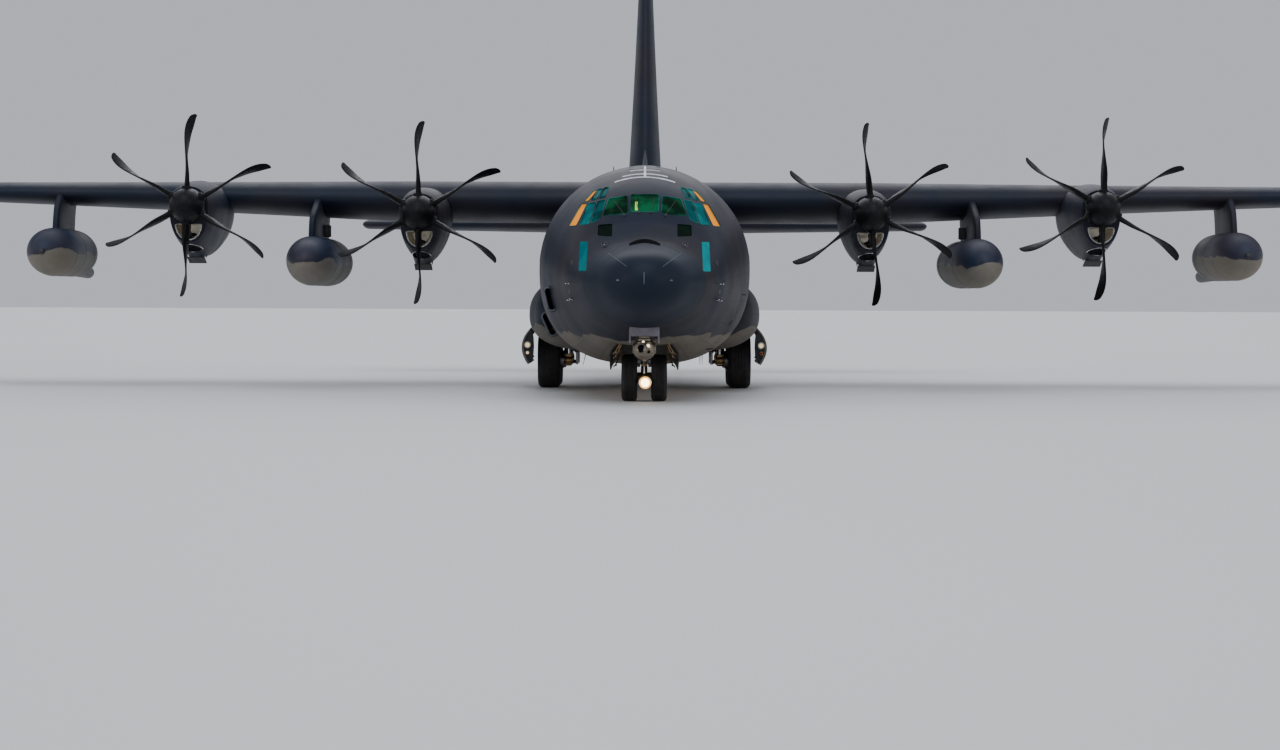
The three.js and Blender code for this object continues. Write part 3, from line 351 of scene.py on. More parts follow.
def bare(name, shape):
    """An object at the origin whose mesh holds the shape's points in the model's frame."""
    mesh = bpy.data.meshes.new(name)
    mesh.vertices.add(len(shape.points))
    mesh.vertices.foreach_set("co", placed(shape.points).ravel())
    corners = np.concatenate([rows.ravel() for rows in shape.faces])
    totals = np.concatenate([np.full(len(rows), rows.shape[1]) for rows in shape.faces])
    mesh.loops.add(len(corners))
    mesh.loops.foreach_set("vertex_index", corners.astype(np.int32))
    mesh.polygons.add(len(totals))
    mesh.polygons.foreach_set("loop_start", (np.cumsum(totals) - totals).astype(np.int32))
    mesh.polygons.foreach_set("use_smooth", np.ones(len(totals), bool))
    mesh.update(calc_edges=True)
    piece = bpy.data.objects.new(name, mesh)
    bpy.context.scene.collection.objects.link(piece)
    return piece


def carve(piece, cutter, keep=False, how=None, crossed=False):
    """Cuts a shape or a bare object out of a piece, or with keep leaves only what lies inside it. A piece is
    crossed when its own parts run through each other."""
    if isinstance(cutter, Shape):
        cutter = bare("cutter", cutter)
    modifier = piece.modifiers.new("cut", "BOOLEAN")
    modifier.object = cutter
    modifier.operation = how or ("INTERSECT" if keep else "DIFFERENCE")
    modifier.solver = "EXACT"
    modifier.use_self = crossed
    depsgraph = bpy.context.evaluated_depsgraph_get()
    mesh = bpy.data.meshes.new_from_object(piece.evaluated_get(depsgraph))
    piece.modifiers.clear()
    old = piece.data
    piece.data = mesh
    bpy.data.meshes.remove(old)
    old = cutter.data
    bpy.data.objects.remove(cutter)
    bpy.data.meshes.remove(old)
    if not len(mesh.polygons):
        raise RuntimeError(f"nothing is left of {piece.name} after a cut")
    return piece


def corner_points(mesh):
    """Each corner's point in full-size metres."""
    points = np.zeros(len(mesh.vertices) * 3, np.float32)
    mesh.vertices.foreach_get("co", points)
    return unplaced(points.reshape(-1, 3))


NEAR_SKIN = 0.02  # a body's value within which a point counts as on its skin
SAME_WAY = 0.9  # cosine of the widest angle, about 25 degrees, that counts as the same direction


def bend_normals(piece, body):
    """Gives corners on a curved skin the skin's own normal, so that cuts leave no flat patches. A corner
    keeps its face's normal where the two differ by more than about 25 degrees, or where the point isn't on
    the skin."""
    mesh = piece.data
    points = corner_points(mesh)
    near = np.abs(body.value(points)) < NEAR_SKIN
    skin = body.normal(points)
    totals = np.zeros(len(mesh.polygons), np.int32)
    flat = np.zeros(len(mesh.polygons) * 3, np.float32)
    mesh.polygons.foreach_get("loop_total", totals)
    mesh.polygons.foreach_get("normal", flat)
    corner = np.zeros(len(mesh.loops), np.int32)
    mesh.loops.foreach_get("vertex_index", corner)
    face = np.repeat(np.arange(len(totals)), totals)
    face_normal = flat.reshape(-1, 3)[face]
    own = skin[corner]
    along = np.einsum("ij,ij->i", own, face_normal)
    use = near[corner] & (np.abs(along) > SAME_WAY)
    normals = np.where(use[:, None], own * np.sign(along)[:, None], face_normal)
    mesh.normals_split_custom_set(normals.tolist())


def finished(piece, finish_name, body="airframe", slot=None, replaces=(), skin=None, crease=32):
    """Gives a made piece its material, its sharp edges, its map of the skin and its place on a body."""
    mesh = piece.data
    mesh.materials.clear()
    mesh.materials.append(finish(finish_name))
    if crease:
        mesh.set_sharp_from_angle(angle=math.radians(crease))
    if skin is not None:
        attribute = mesh.attributes.new("skin", "FLOAT_VECTOR", "POINT")
        attribute.data.foreach_set("vector", skin(corner_points(mesh)).astype(np.float32).ravel())
    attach(piece, body)
    if replaces:
        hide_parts(*replaces)
    return piece


def piece(name, shape, finish_name, body="airframe", **rest):
    return finished(bare(name, shape), finish_name, body, **rest)


def pair(name, shape, finish_name, node="", **rest):
    """A piece on the left and its mirror image on the right, which may stand for the node of each side."""
    for label, side in SIDES:
        stands_for = [f"{node}_{label}"] if node else ()
        piece(f"{name}_{label}", shape.on_side(side), finish_name, replaces=stands_for, **rest)


def bent(made, curve, skin, finish_name, replaces=(), body="airframe", slot="upper_paint"):
    """Finishes a piece of a curved skin and gives it that skin's own normals."""
    finished(made, finish_name, body, slot, replaces, skin, crease=0)
    bend_normals(made, curve)


# Bodies of sections


class Body:
    """A long body whose sections follow |x/a|^n + |z/b|^n = 1 about their widest point, where b and n differ
    above and below it. Its table holds one row for each section: station, half width, top, height of the
    widest point, bottom, upper and lower power. A round nose is smoothed over the square root of the
    station."""

    def __init__(self, table, x=0.0, z=0.0, round_nose=False):
        self.table, self.x, self.z = np.asarray(table, float), x, z
        self.scale = np.sqrt if round_nose else np.asarray

    def rows(self, y):
        stations = self.scale(self.table[:, 0])
        at = self.scale(np.clip(y, self.table[0, 0], self.table[-1, 0]))
        return [smooth(stations, self.table[:, column], at) for column in range(1, 7)]

    def rings(self, stations, inset=0.0, count=ROUND, angles=None):
        """Sections at the stations, inset by a wall."""
        stations = np.asarray(stations, float)
        half, top, middle, bottom, upper, lower = (v[:, None] for v in self.rows(stations))
        if angles is None:
            angles = (np.arange(count) + 0.5) / count * 2 * math.pi
        angle = np.asarray(angles)[None]
        c, s = np.cos(angle), np.sin(angle)
        power = np.where(s > 0, upper, lower)
        reach = (np.abs(c) ** power + np.abs(s) ** power) ** (-1 / power)
        height = np.where(s > 0, top - middle, middle - bottom) - inset
        x = (half - inset) * c * reach + self.x
        return columns(x, stations[:, None], middle + height * s * reach + self.z)

    def value(self, points):
        """Below zero inside the body, zero on its skin and above zero outside."""
        half, top, middle, bottom, upper, lower = self.rows(points[..., 1])
        x, z = points[..., 0] - self.x, points[..., 2] - self.z
        height = np.where(z > middle, top - middle, middle - bottom)
        power = np.where(z > middle, upper, lower)
        return np.abs(x / half) ** power + np.abs((z - middle) / height) ** power - 1

    def normal(self, points):
        """The gradient of value by central differences, made one long."""
        steps = np.eye(3) * 0.004
        slope = np.stack([self.value(points + step) - self.value(points - step) for step in steps], -1)
        return slope / np.maximum(np.linalg.norm(slope, axis=-1, keepdims=True), 1e-9)

    def station(self, x, z, low=0.0, high=7.8):
        """The station at which the widening body passes through x and z, by halving the span between two."""
        low, high = np.full(np.shape(x), low), np.full(np.shape(x), high)
        for _ in range(40):
            middle = (low + high) / 2
            outside = self.value(columns(x, middle, z)) > 0
            low, high = np.where(outside, middle, low), np.where(outside, high, middle)
        return (low + high) / 2

    def crown(self, x, y):
        """The height of the skin's upper half above a point in plan."""
        half, top, middle, _, upper, _ = self.rows(y)
        share = np.maximum(1 - np.abs((x - self.x) / half) ** upper, 0) ** (1 / upper)
        return middle + (top - middle) * share + self.z

    def belly(self, x, y):
        half, _, middle, bottom, _, lower = self.rows(y)
        share = np.maximum(1 - np.abs((x - self.x) / half) ** lower, 0) ** (1 / lower)
        return middle - (middle - bottom) * share + self.z

    def side(self, y, z):
        """How far out the skin is on the left at a station and height."""
        half, top, middle, bottom, upper, lower = self.rows(y)
        above = z - self.z > middle
        height = np.where(above, top - middle, middle - bottom)
        power = np.where(above, upper, lower)
        return half * np.maximum(1 - np.abs((z - self.z - middle) / height) ** power,
                                 0) ** (1 / power) + self.x


HULL = Body(FUSELAGE, round_nose=True)


def hull_map(points):
    """The skin's own map in model metres: along, round from the crown, and height over the paint's lower
    edge."""
    middle = HULL.rows(points[..., 1])[2]
    x, y, z = points[..., 0], points[..., 1], points[..., 2]
    angle = np.abs(np.arctan2(x, z - middle))
    edge = np.interp(y, PAINT_EDGE[0], PAINT_EDGE[1])
    return columns(y, angle * HULL_HALF, z - edge) * MODEL_SCALE


# The paint's lower edge: stations, and the height below which the underside's grey begins
PAINT_EDGE = ([0, 1.5, 3.5, 6, 12, 18.8, 22, 25, 30], [0.9, 1.2, 1.4, 1.45, 1.45, 1.5, 2.2, 3.3, 4.1])


def floor_plate(ys, half, low, high):
    """A level plate between two heights, with its half width at each station."""
    corners = ((-1, low), (1, low), (1, high), (-1, high))
    return loft(np.stack([columns(half * k, ys, z) for k, z in corners], 1))


def plain_map(along, across):
    """A map for a part that is painted in the upper colour alone: two chosen axes."""
    def made(points):
        high = np.ones(len(points))
        return columns(points[:, along] * MODEL_SCALE, points[:, across] * MODEL_SCALE, high)
    return made


def stations_between(low, high, step=SKIN_STEP):
    return np.linspace(low, high, max(2, math.ceil((high - low) / step) + 1))


def hull_shell(low, high):
    """A length of the fuselage as a wall, open at both ends."""
    stations = stations_between(low, high)
    return loft(np.vstack([HULL.rings(stations), HULL.rings(stations[::-1], WALL)]), wrap=True)


def hull_patch(low, high, first, last):
    """A part of the wall between two stations and two angles in degrees, from the left side over the
    crown."""
    count = max(3, int(abs(last - first) / 2))
    angles = np.radians(np.linspace(first, last, count))
    stations = stations_between(low, high)
    return slab(HULL.rings(stations, angles=angles), HULL.rings(stations, WALL, angles=angles))


# Materials


def shade(colour, factor):
    return [c * factor for c in colour]


class Paintbox:
    """Short calls that build one material's nodes. A socket given as a value is linked, and a number is
    set."""

    def __init__(self, name):
        self.material = bpy.data.materials.new(name)
        self.material.use_nodes = True
        self.tree = self.material.node_tree
        self.tree.nodes.clear()

    def node(self, kind, inputs=(), **settings):
        made = self.tree.nodes.new("ShaderNode" + kind)
        for key, value in settings.items():
            setattr(made, key, value)
        for key, value in dict(inputs).items():
            if isinstance(value, bpy.types.NodeSocket):
                self.tree.links.new(value, made.inputs[key])
            else:
                made.inputs[key].default_value = value
        return made

    def calc(self, operation, *values):
        return self.node("Math", enumerate(values), operation=operation).outputs[0]

    def mix(self, share, first, second):
        made = self.node("Mix", data_type="RGBA")
        for place, value in ((0, share), (6, first), (7, second)):
            if isinstance(value, bpy.types.NodeSocket):
                self.tree.links.new(value, made.inputs[place])
            elif place:
                made.inputs[place].default_value = (*value, 1)
            else:
                made.inputs[place].default_value = value
        return made.outputs[2]

    def span(self, value, low, high, to_low=0.0, to_high=1.0):
        """The value carried smoothly from one range to another."""
        inputs = {"Value": value, "From Min": low, "From Max": high, "To Min": to_low, "To Max": to_high}
        return self.node("MapRange", inputs, interpolation_type="SMOOTHSTEP").outputs[0]

    def place(self):
        return self.node("TexCoord").outputs["Object"]

    def noise(self, scale, detail=3, where=None, roughness=0.5, stretch=None):
        where = where or self.place()
        if stretch:
            where = self.node("Mapping", {"Vector": where, "Scale": stretch}).outputs[0]
        inputs = {"Vector": where, "Scale": scale, "Detail": detail, "Roughness": roughness}
        return self.node("TexNoise", inputs).outputs["Fac"]

    def bump(self, height, distance, strength=0.5, under=None):
        inputs = {"Height": height, "Distance": distance, "Strength": strength}
        if under is not None:
            inputs["Normal"] = under
        return self.node("Bump", inputs).outputs[0]

    def shader(self, colour, roughness, normal=None, **plain):
        """The principled shader: its other sockets are set by name to plain numbers."""
        inputs = {"Roughness": roughness}
        if normal is not None:
            inputs["Normal"] = normal
        made = self.node("BsdfPrincipled", inputs)
        if isinstance(colour, bpy.types.NodeSocket):
            self.tree.links.new(colour, made.inputs["Base Color"])
        else:
            made.inputs["Base Color"].default_value = (*colour, 1)
        for key, value in plain.items():
            made.inputs[key.replace("_", " ")].default_value = value
        output = self.node("OutputMaterial")
        self.tree.links.new(made.outputs[0], output.inputs[0])
        self.principled = made
        return self.material

    def glow(self, strength, colour=None):
        """Lights the shader up where a mask, or a number, says so."""
        inputs = self.principled.inputs
        for key, value in (("Emission Strength", strength), ("Emission Color", colour)):
            if isinstance(value, bpy.types.NodeSocket):
                self.tree.links.new(value, inputs[key])
            elif value is not None:
                inputs[key].default_value = value if key.endswith("Strength") else (*value, 1)
        return self.material


# Of the skin's panels, in model metres
JOINT_WIDTH, RIVET_BAND, RIVET_STEP = 0.0022, 0.016, 0.0155


def airframe_paint(name, upper, tint, lower, panel):
    """Satin paint in two tones with a wavering edge, panel joints with their rivets, rain streaks and
    grime."""
    brush = Paintbox(name)
    skin = brush.node("Attribute", attribute_name="skin")
    parts = brush.node("SeparateXYZ", {"Vector": skin.outputs["Vector"]})
    along, across, height = parts.outputs
    waver = brush.calc("MULTIPLY", brush.calc("SUBTRACT", brush.noise(1.3, 2), 0.5), 0.34)
    small_waver = brush.calc("MULTIPLY", brush.calc("SUBTRACT", brush.noise(5.0, 2), 0.5), 0.06)
    over_edge = brush.calc("ADD", brush.calc("ADD", height, waver), small_waver)
    is_upper = brush.span(over_edge, -0.006, 0.006)
    cloud = brush.span(brush.noise(0.7, 4), 0.35, 0.65)
    patches = brush.span(brush.noise(1.6, 3), 0.3, 0.75)
    streaks = brush.span(brush.noise(6.0, 4, skin.outputs["Vector"], stretch=(0.12, 1.4, 0.2)), 0.35, 0.8)
    top = brush.mix(cloud, upper, tint)
    top = brush.mix(brush.calc("MULTIPLY", patches, 0.2), top, shade(upper, 1.35))
    low = brush.mix(cloud, lower, [lower[0] * 1.08, lower[1] * 0.98, lower[2] * 0.86])
    low = brush.mix(brush.calc("MULTIPLY", patches, 0.5), low, shade(lower, 0.62))
    colour = brush.mix(is_upper, low, top)
    colour = brush.mix(brush.calc("MULTIPLY", streaks, 0.12), colour, shade(upper, 0.45))
    brick = brush.node("TexBrick", {
        "Vector": skin.outputs["Vector"], "Scale": 1.0, "Mortar Size": JOINT_WIDTH, "Mortar Smooth": 0.2,
        "Brick Width": panel[0], "Row Height": panel[1], "Color1": (0.42, 0.42, 0.42, 1),
        "Color2": (0.58, 0.58, 0.58, 1)}, offset=0.5, squash=1.0)
    joint = brick.outputs["Fac"]
    band = brush.node("TexBrick", {
        "Vector": skin.outputs["Vector"], "Scale": 1.0, "Mortar Size": RIVET_BAND, "Mortar Smooth": 0.0,
        "Brick Width": panel[0], "Row Height": panel[1]}, offset=0.5).outputs["Fac"]
    dots = [brush.calc("POWER",
                       brush.calc("SUBTRACT", brush.calc("FRACT", brush.calc("DIVIDE", v, RIVET_STEP)), 0.5),
                       2.0) for v in (along, across)]
    rivet = brush.span(brush.calc("ADD", *dots), 0.03, 0.055, 1.0, 0.0)
    rivet = brush.calc("MULTIPLY", rivet, brush.calc("SUBTRACT", band, joint))
    tone = brush.node("SeparateColor", {"Color": brick.outputs["Color"]}).outputs[0]
    tone = brush.calc("MULTIPLY", brush.calc("SUBTRACT", tone, 0.42), 0.9)
    colour = brush.mix(tone, colour, [c * 1.5 + 0.004 for c in upper])
    colour = brush.mix(brush.calc("MULTIPLY", joint, 0.6), colour, (0.012, 0.013, 0.016))
    rough = brush.span(brush.noise(2.5, 2), 0.3, 0.7, 0.47, 0.54)
    rough = brush.calc("ADD", rough, brush.calc("MULTIPLY", brush.calc("SUBTRACT", 1.0, is_upper), 0.12))
    relief = brush.bump(brush.calc("SUBTRACT", rivet, brush.calc("MULTIPLY", joint, 1.6)), 0.0014, 0.4)
    relief = brush.bump(brush.noise(1.6, 1), 0.012, 0.06, relief)
    return brush.shader(colour, rough, relief, Metallic=0.0, Specular_IOR_Level=0.17, Coat_Weight=0.02,
                        Coat_Roughness=0.3)


def worn_plain(name, colour, second, roughness, metallic=0.0, grain=30.0, bump=0.0008, wear=0.35, **plain):
    """One worn finish: patches of a second colour, uneven gloss and a fine grain in the surface."""
    brush = Paintbox(name)
    patches = brush.span(brush.noise(grain * 0.12, 5, roughness=0.6), 0.35, 0.7)
    fine = brush.noise(grain, 4)
    mixed = brush.mix(brush.calc("MULTIPLY", patches, wear * 2), colour, second)
    mixed = brush.mix(brush.span(fine, 0.45, 0.75, 0.0, 0.4), mixed, shade(colour, 0.6))
    rough = brush.span(fine, 0.3, 0.7, max(roughness - 0.08, 0.02), roughness + 0.1)
    return brush.shader(mixed, rough, brush.bump(fine, bump, 0.4), Metallic=metallic, **plain)


def tinted_glass(name, colour, deep, glow, clear):
    """A coated pane: the tint deepens in soft patches, under a hard glossy face."""
    brush = Paintbox(name)
    tint = brush.mix(brush.span(brush.noise(4.5, 3), 0.4, 0.62), colour, deep)
    made = brush.shader(tint, 0.1, brush.bump(brush.noise(3.0, 1), 0.003, 0.08), Transmission_Weight=clear,
                        IOR=1.45, Coat_Weight=0.05, Coat_Roughness=0.04, Specular_IOR_Level=0.0)
    # The glow makes the tint shine. On strips and lenses it is lamp light; on panes and frames it is painted
    # light, a painted reflection.
    if glow:
        brush.glow(glow, tint)
    return made


def lamp_glass(name, colour, strength):
    """A lit lens, brightest in the middle of its prisms."""
    brush = Paintbox(name)
    cells = brush.node("TexVoronoi", {"Vector": brush.place(), "Scale": 90.0}).outputs["Distance"]
    tone = brush.mix(brush.span(cells, 0.0, 0.6), colour, shade(colour, 0.55))
    brush.shader(tone, 0.12, brush.bump(cells, 0.002, 0.5), Coat_Weight=1.0)
    return brush.glow(strength, tone)


def tyre_rubber(name):
    """Black rubber greyed by the runway, with a fine mottled grain."""
    brush = Paintbox(name)
    dust = brush.span(brush.noise(7.0, 5, roughness=0.65), 0.42, 0.75)
    colour = brush.mix(brush.calc("MULTIPLY", dust, 0.5), (0.012, 0.012, 0.013), (0.045, 0.042, 0.038))
    fine = brush.noise(160.0, 3)
    return brush.shader(colour, brush.span(fine, 0.3, 0.7, 0.72, 0.9), brush.bump(fine, 0.0006, 0.5))


def brushed_metal(name, colour, roughness, stretch=(1, 1, 12), grime=(0.05, 0.04, 0.03)):
    """Metal with drawn lines along one axis, oil stains and dull patches."""
    brush = Paintbox(name)
    lines = brush.noise(40.0, 4, stretch=stretch)
    stains = brush.span(brush.noise(8.0, 5, roughness=0.6), 0.5, 0.78)
    tone = brush.mix(brush.calc("MULTIPLY", stains, 0.7), colour, grime)
    rough = brush.calc("ADD", brush.span(lines, 0.3, 0.7, roughness - 0.08, roughness + 0.1),
                       brush.calc("MULTIPLY", stains, 0.25))
    return brush.shader(tone, rough, brush.bump(lines, 0.0004, 0.3), Metallic=1.0)


def burnt_metal(name):
    """Exhaust metal: blue and straw heat bands along the pipe under brown soot."""
    brush = Paintbox(name)
    aft = brush.node("SeparateXYZ", {"Vector": brush.place()}).outputs[1]
    wave = brush.calc("ADD", brush.calc("MULTIPLY", aft, 2.6), brush.noise(5.0, 3))
    band = brush.span(brush.calc("FRACT", wave), 0.2, 0.8)
    tone = brush.mix(band, (0.22, 0.15, 0.09), (0.08, 0.085, 0.12))
    soot = brush.span(brush.noise(9.0, 4), 0.4, 0.7)
    tone = brush.mix(brush.calc("MULTIPLY", soot, 0.7), tone, (0.012, 0.011, 0.01))
    return brush.shader(tone, 0.42, brush.bump(brush.noise(60.0, 3), 0.0005, 0.3), Metallic=0.85)


def studio_floor(colour):
    """A pale matt floor with broad clouds too faint to see as a pattern."""
    brush = Paintbox("studio_floor")
    cloud = brush.span(brush.noise(0.05, 1), 0.2, 0.8)
    return brush.shader(brush.mix(cloud, colour, shade(colour, 0.98)), brush.span(cloud, 0, 1, 0.6, 0.65))


# Settings, and the finish of each name


class PLANE_PG_settings(bpy.types.PropertyGroup):
    """The colours and sizes that a user would change."""

    upper: bpy.props.FloatVectorProperty(
        name="Upper paint", description="Dark blue-grey of the upper skin", subtype="COLOR",
        default=(0.0075, 0.0125, 0.025))
    tint: bpy.props.FloatVectorProperty(
        name="Faded paint", description="Browner grey that the upper paint fades to", subtype="COLOR",
        default=(0.02, 0.0165, 0.021))
    lower: bpy.props.FloatVectorProperty(name="Lower paint", description="Warm grey of the underside",
                                         subtype="COLOR", default=(0.17, 0.16, 0.14))
    radome: bpy.props.FloatVectorProperty(name="Radome", description="Rain-erosion coat on the nose",
                                          subtype="COLOR", default=(0.005, 0.01, 0.021))
    blade: bpy.props.FloatVectorProperty(name="Propellers", description="Black of blades and spinners",
                                         subtype="COLOR", default=(0.004, 0.004, 0.005))
    marking: bpy.props.FloatVectorProperty(name="Roof markings",
                                           description="White of the lines on the roof", subtype="COLOR",
                                           default=(0.86, 0.9, 0.95))
    # The pane colours below also set the panes' glow: painted reflections in the glass.
    teal: bpy.props.FloatVectorProperty(name="Side panes", description="Tint of the side panes",
                                        subtype="COLOR", default=(0.001, 0.085, 0.095))
    green: bpy.props.FloatVectorProperty(name="Front panes", description="Tint of the front panes",
                                         subtype="COLOR", default=(0.001, 0.05, 0.019))
    # The amber panes paint the reflection of the low sun.
    amber: bpy.props.FloatVectorProperty(
        name="Rear side panes", description="Tint of the panes that catch the low sun", subtype="COLOR",
        default=(0.5, 0.17, 0.012))
    panel_length: bpy.props.FloatProperty(
        name="Panel length", description="Length of a skin panel", default=0.62, min=0.1, unit="LENGTH")
    panel_height: bpy.props.FloatProperty(
        name="Panel height", description="Height of a skin panel", default=0.31, min=0.05, unit="LENGTH")
    lamp_strength: bpy.props.FloatProperty(
        name="Taxi lamp", description="Brightness of the lamp on the nose gear", default=14.0, min=0.0)
    floor: bpy.props.FloatVectorProperty(
        name="Floor", description="Pale studio floor", subtype="COLOR", default=(0.7, 0.69, 0.67))
    key_strength: bpy.props.FloatProperty(
        name="Overhead light", description="Strength of the soft light overhead", default=1.5, min=0.0)


def finishes(s):
    """Each finish: the function that makes it, its values, and others by name. The settings are s."""
    return {
        "airframe": (airframe_paint, "airframe_paint", s.upper, s.tint, s.lower,
                     (s.panel_length, s.panel_height)),
        "small panels": (airframe_paint, "nacelle_paint", s.upper, s.tint, s.lower, (0.31, 0.16)),
        # The stores take a lighter copy of the airframe paint: painted sheen.
        "store": (airframe_paint, "store_paint", shade(s.upper, 2.1), shade(s.tint, 1.9),
                  shade(s.lower, 1.15), (1.6, 0.9)),
        "radome": (airframe_paint, "radome_coat", s.radome, s.upper, s.upper, (9.0, 9.0)),
        "blade": (worn_plain, "propeller_black", s.blade, (0.009, 0.009, 0.01), 0.45,
                  {"grain": 22.0, "wear": 0.2, "Specular_IOR_Level": 0.15}),
        "spinner": (worn_plain, "spinner_black", s.blade, (0.008, 0.008, 0.01), 0.45,
                    {"wear": 0.2, "Specular_IOR_Level": 0.15}),
        "marking": (worn_plain, "roof_marking", s.marking, (0.3, 0.33, 0.36), 0.5, {"grain": 60.0}),
        "dark trim": (worn_plain, "dark_trim", (0.012, 0.013, 0.015), (0.03, 0.03, 0.032), 0.5),
        "seal": (worn_plain, "window_seal", (0.01, 0.012, 0.012), (0.03, 0.035, 0.035), 0.6,
                 {"grain": 120.0}),
        # The frames' teal glow is painted light: a painted sheen of sky light on the window seals.
        "frame": (tinted_glass, "window_frame", (0.01, 0.09, 0.075), (0.002, 0.02, 0.018), 0.9, 0.0),
        # The panes shine with their tint: painted reflections in the glass. The deep teal panes are a darker
        # painted copy of the teal ones, and the chin pane's glow is faint.
        "teal": (tinted_glass, "teal_pane", s.teal, shade(s.teal, 0.55), 1.2, 0.05),
        "deep teal": (tinted_glass, "deep_teal_pane", shade(s.teal, 0.45), shade(s.teal, 0.2), 1.2, 0.05),
        "green": (tinted_glass, "green_pane", shade(s.green, 0.8), shade(s.green, 0.15), 0.9, 0.08),
        "lit green": (tinted_glass, "lit_green_pane", shade(s.green, 1.1), shade(s.green, 0.3), 1.2, 0.08),
        "dim green": (tinted_glass, "chin_pane", shade(s.green, 0.2), shade(s.green, 0.1), 0.03, 0.1),
        "cabin pane": (tinted_glass, "cabin_pane", (0.02, 0.03, 0.035), (0.01, 0.014, 0.016), 0.0, 0.2),
        # Amber tint and glow: a painted reflection of the low sun.
        "amber": (tinted_glass, "amber_pane", s.amber, shade(s.amber, 0.75), 1.3, 0.0),
        "strip": (tinted_glass, "formation_strip", (0.0004, 0.065, 0.073), (0.0003, 0.05, 0.058), 3.0, 0.0),
        "dim strip": (tinted_glass, "dim_strip", (0.0004, 0.05, 0.058), (0.0003, 0.035, 0.042), 2.2, 0.0),
        "frame line": (worn_plain, "pale_seam", (0.1, 0.12, 0.14), (0.05, 0.06, 0.08), 0.5,
                       {"grain": 60.0}),
        "bracket": (worn_plain, "bracket_paint", (0.2, 0.18, 0.21), (0.09, 0.08, 0.1), 0.5,
                    {"grain": 40.0}),
        "lamp ring": (lamp_glass, "lamp_ring", (0.62, 0.58, 0.5), 0.3),
        "amber lens": (lamp_glass, "amber_lens", (1.0, 0.72, 0.35), 1.6),
        "reflector": (lamp_glass, "lamp_reflector", (1.0, 0.5, 0.12), 3.0),
        "light bar": (lamp_glass, "light_bar", (0.45, 0.9, 0.05), 0.9),
        # A near-black finish that paints the shade inside openings: the slot above the radome and the scoops'
        # throats.
        "throat": (worn_plain, "throat_black", (0.002, 0.002, 0.003), (0.004, 0.004, 0.005), 0.9,
                   {"Specular_IOR_Level": 0.05}),
        "lining": (worn_plain, "cabin_lining", (0.04, 0.05, 0.042), (0.02, 0.024, 0.02), 0.75,
                   {"grain": 50.0}),
        "hold floor": (worn_plain, "hold_floor", (0.12, 0.12, 0.115), (0.05, 0.05, 0.048), 0.7,
                       {"grain": 90.0, "bump": 0.002}),
        "well": (worn_plain, "well_primer", (0.3, 0.31, 0.28), (0.1, 0.1, 0.09), 0.6, {"grain": 35.0}),
        "gear": (worn_plain, "gear_paint", (0.32, 0.31, 0.29), (0.1, 0.09, 0.075), 0.4,
                 {"grain": 30.0, "Coat_Weight": 0.2}),
        "chrome": (brushed_metal, "oleo_chrome", (0.75, 0.76, 0.78), 0.12, {"grime": (0.2, 0.17, 0.12)}),
        "steel": (brushed_metal, "fitting_steel", (0.36, 0.35, 0.34), 0.34),
        "bronze": (brushed_metal, "bronze_fitting", (0.45, 0.29, 0.13), 0.36,
                   {"grime": (0.06, 0.035, 0.015)}),
        "lip": (brushed_metal, "intake_lip", (0.6, 0.6, 0.6), 0.22, (1, 1, 1), (0.25, 0.22, 0.18)),
        "duct": (brushed_metal, "duct_liner", (0.8, 0.74, 0.62), 0.45, (1, 6, 1), (0.3, 0.25, 0.18)),
        "exhaust": (burnt_metal, "exhaust_metal"),
        "tyre": (tyre_rubber, "tyre_rubber"),
        "rim": (worn_plain, "wheel_rim", (0.2, 0.2, 0.2), (0.06, 0.055, 0.05), 0.45, 0.3, {"grain": 40.0}),
        "ball": (brushed_metal, "sensor_ball", (0.22, 0.19, 0.15), 0.3, (1, 1, 1), (0.14, 0.115, 0.08)),
        "dark lens": (tinted_glass, "dark_lens", (0.01, 0.006, 0.02), (0.002, 0.002, 0.006), 0.0, 0.0),
        # The sensor ball's laser and wide lenses glow: painted glints, not lamps.
        "lit lens": (lamp_glass, "lit_lens", (1.0, 0.93, 0.75), 3.0),
        "taxi lens": (lamp_glass, "taxi_lens", (1.0, 0.78, 0.45), s.lamp_strength),
        "red lens": (tinted_glass, "red_lens", (0.5, 0.01, 0.008), (0.2, 0.004, 0.004), 0.1, 0.0),
        "green lens": (tinted_glass, "green_lens", (0.01, 0.4, 0.12), (0.004, 0.15, 0.05), 0.1, 0.0),
        "clear lens": (tinted_glass, "clear_lens", (0.6, 0.62, 0.62), (0.3, 0.3, 0.3), 0.0, 0.3),
        "screen": (lamp_glass, "panel_screen", (0.05, 0.5, 0.16), 0.7),
        "cushion": (worn_plain, "seat_cloth", (0.05, 0.06, 0.045), (0.025, 0.03, 0.022), 0.9,
                    {"grain": 240.0, "bump": 0.0015, "Sheen_Weight": 0.4}),
        "floor": (studio_floor, s.floor),
    }


MADE = {}


def finish(name):
    """The material of a finish, built at its first use from the scene's settings."""
    if name not in MADE:
        maker, *values = finishes(bpy.context.scene.transport_plane)[name]
        named = values.pop() if isinstance(values[-1], dict) else {}
        MADE[name] = maker(*values, **named)
    return MADE[name]


# Stage and camera

CAMERA_AHEAD = 57.3  # full-size metres from the lens to the nose tip
CAMERA_HEIGHT = 2.2
LENS = 82.5
CAMERA_TURN = (math.radians(88.45), math.radians(-0.23), math.radians(0.088))


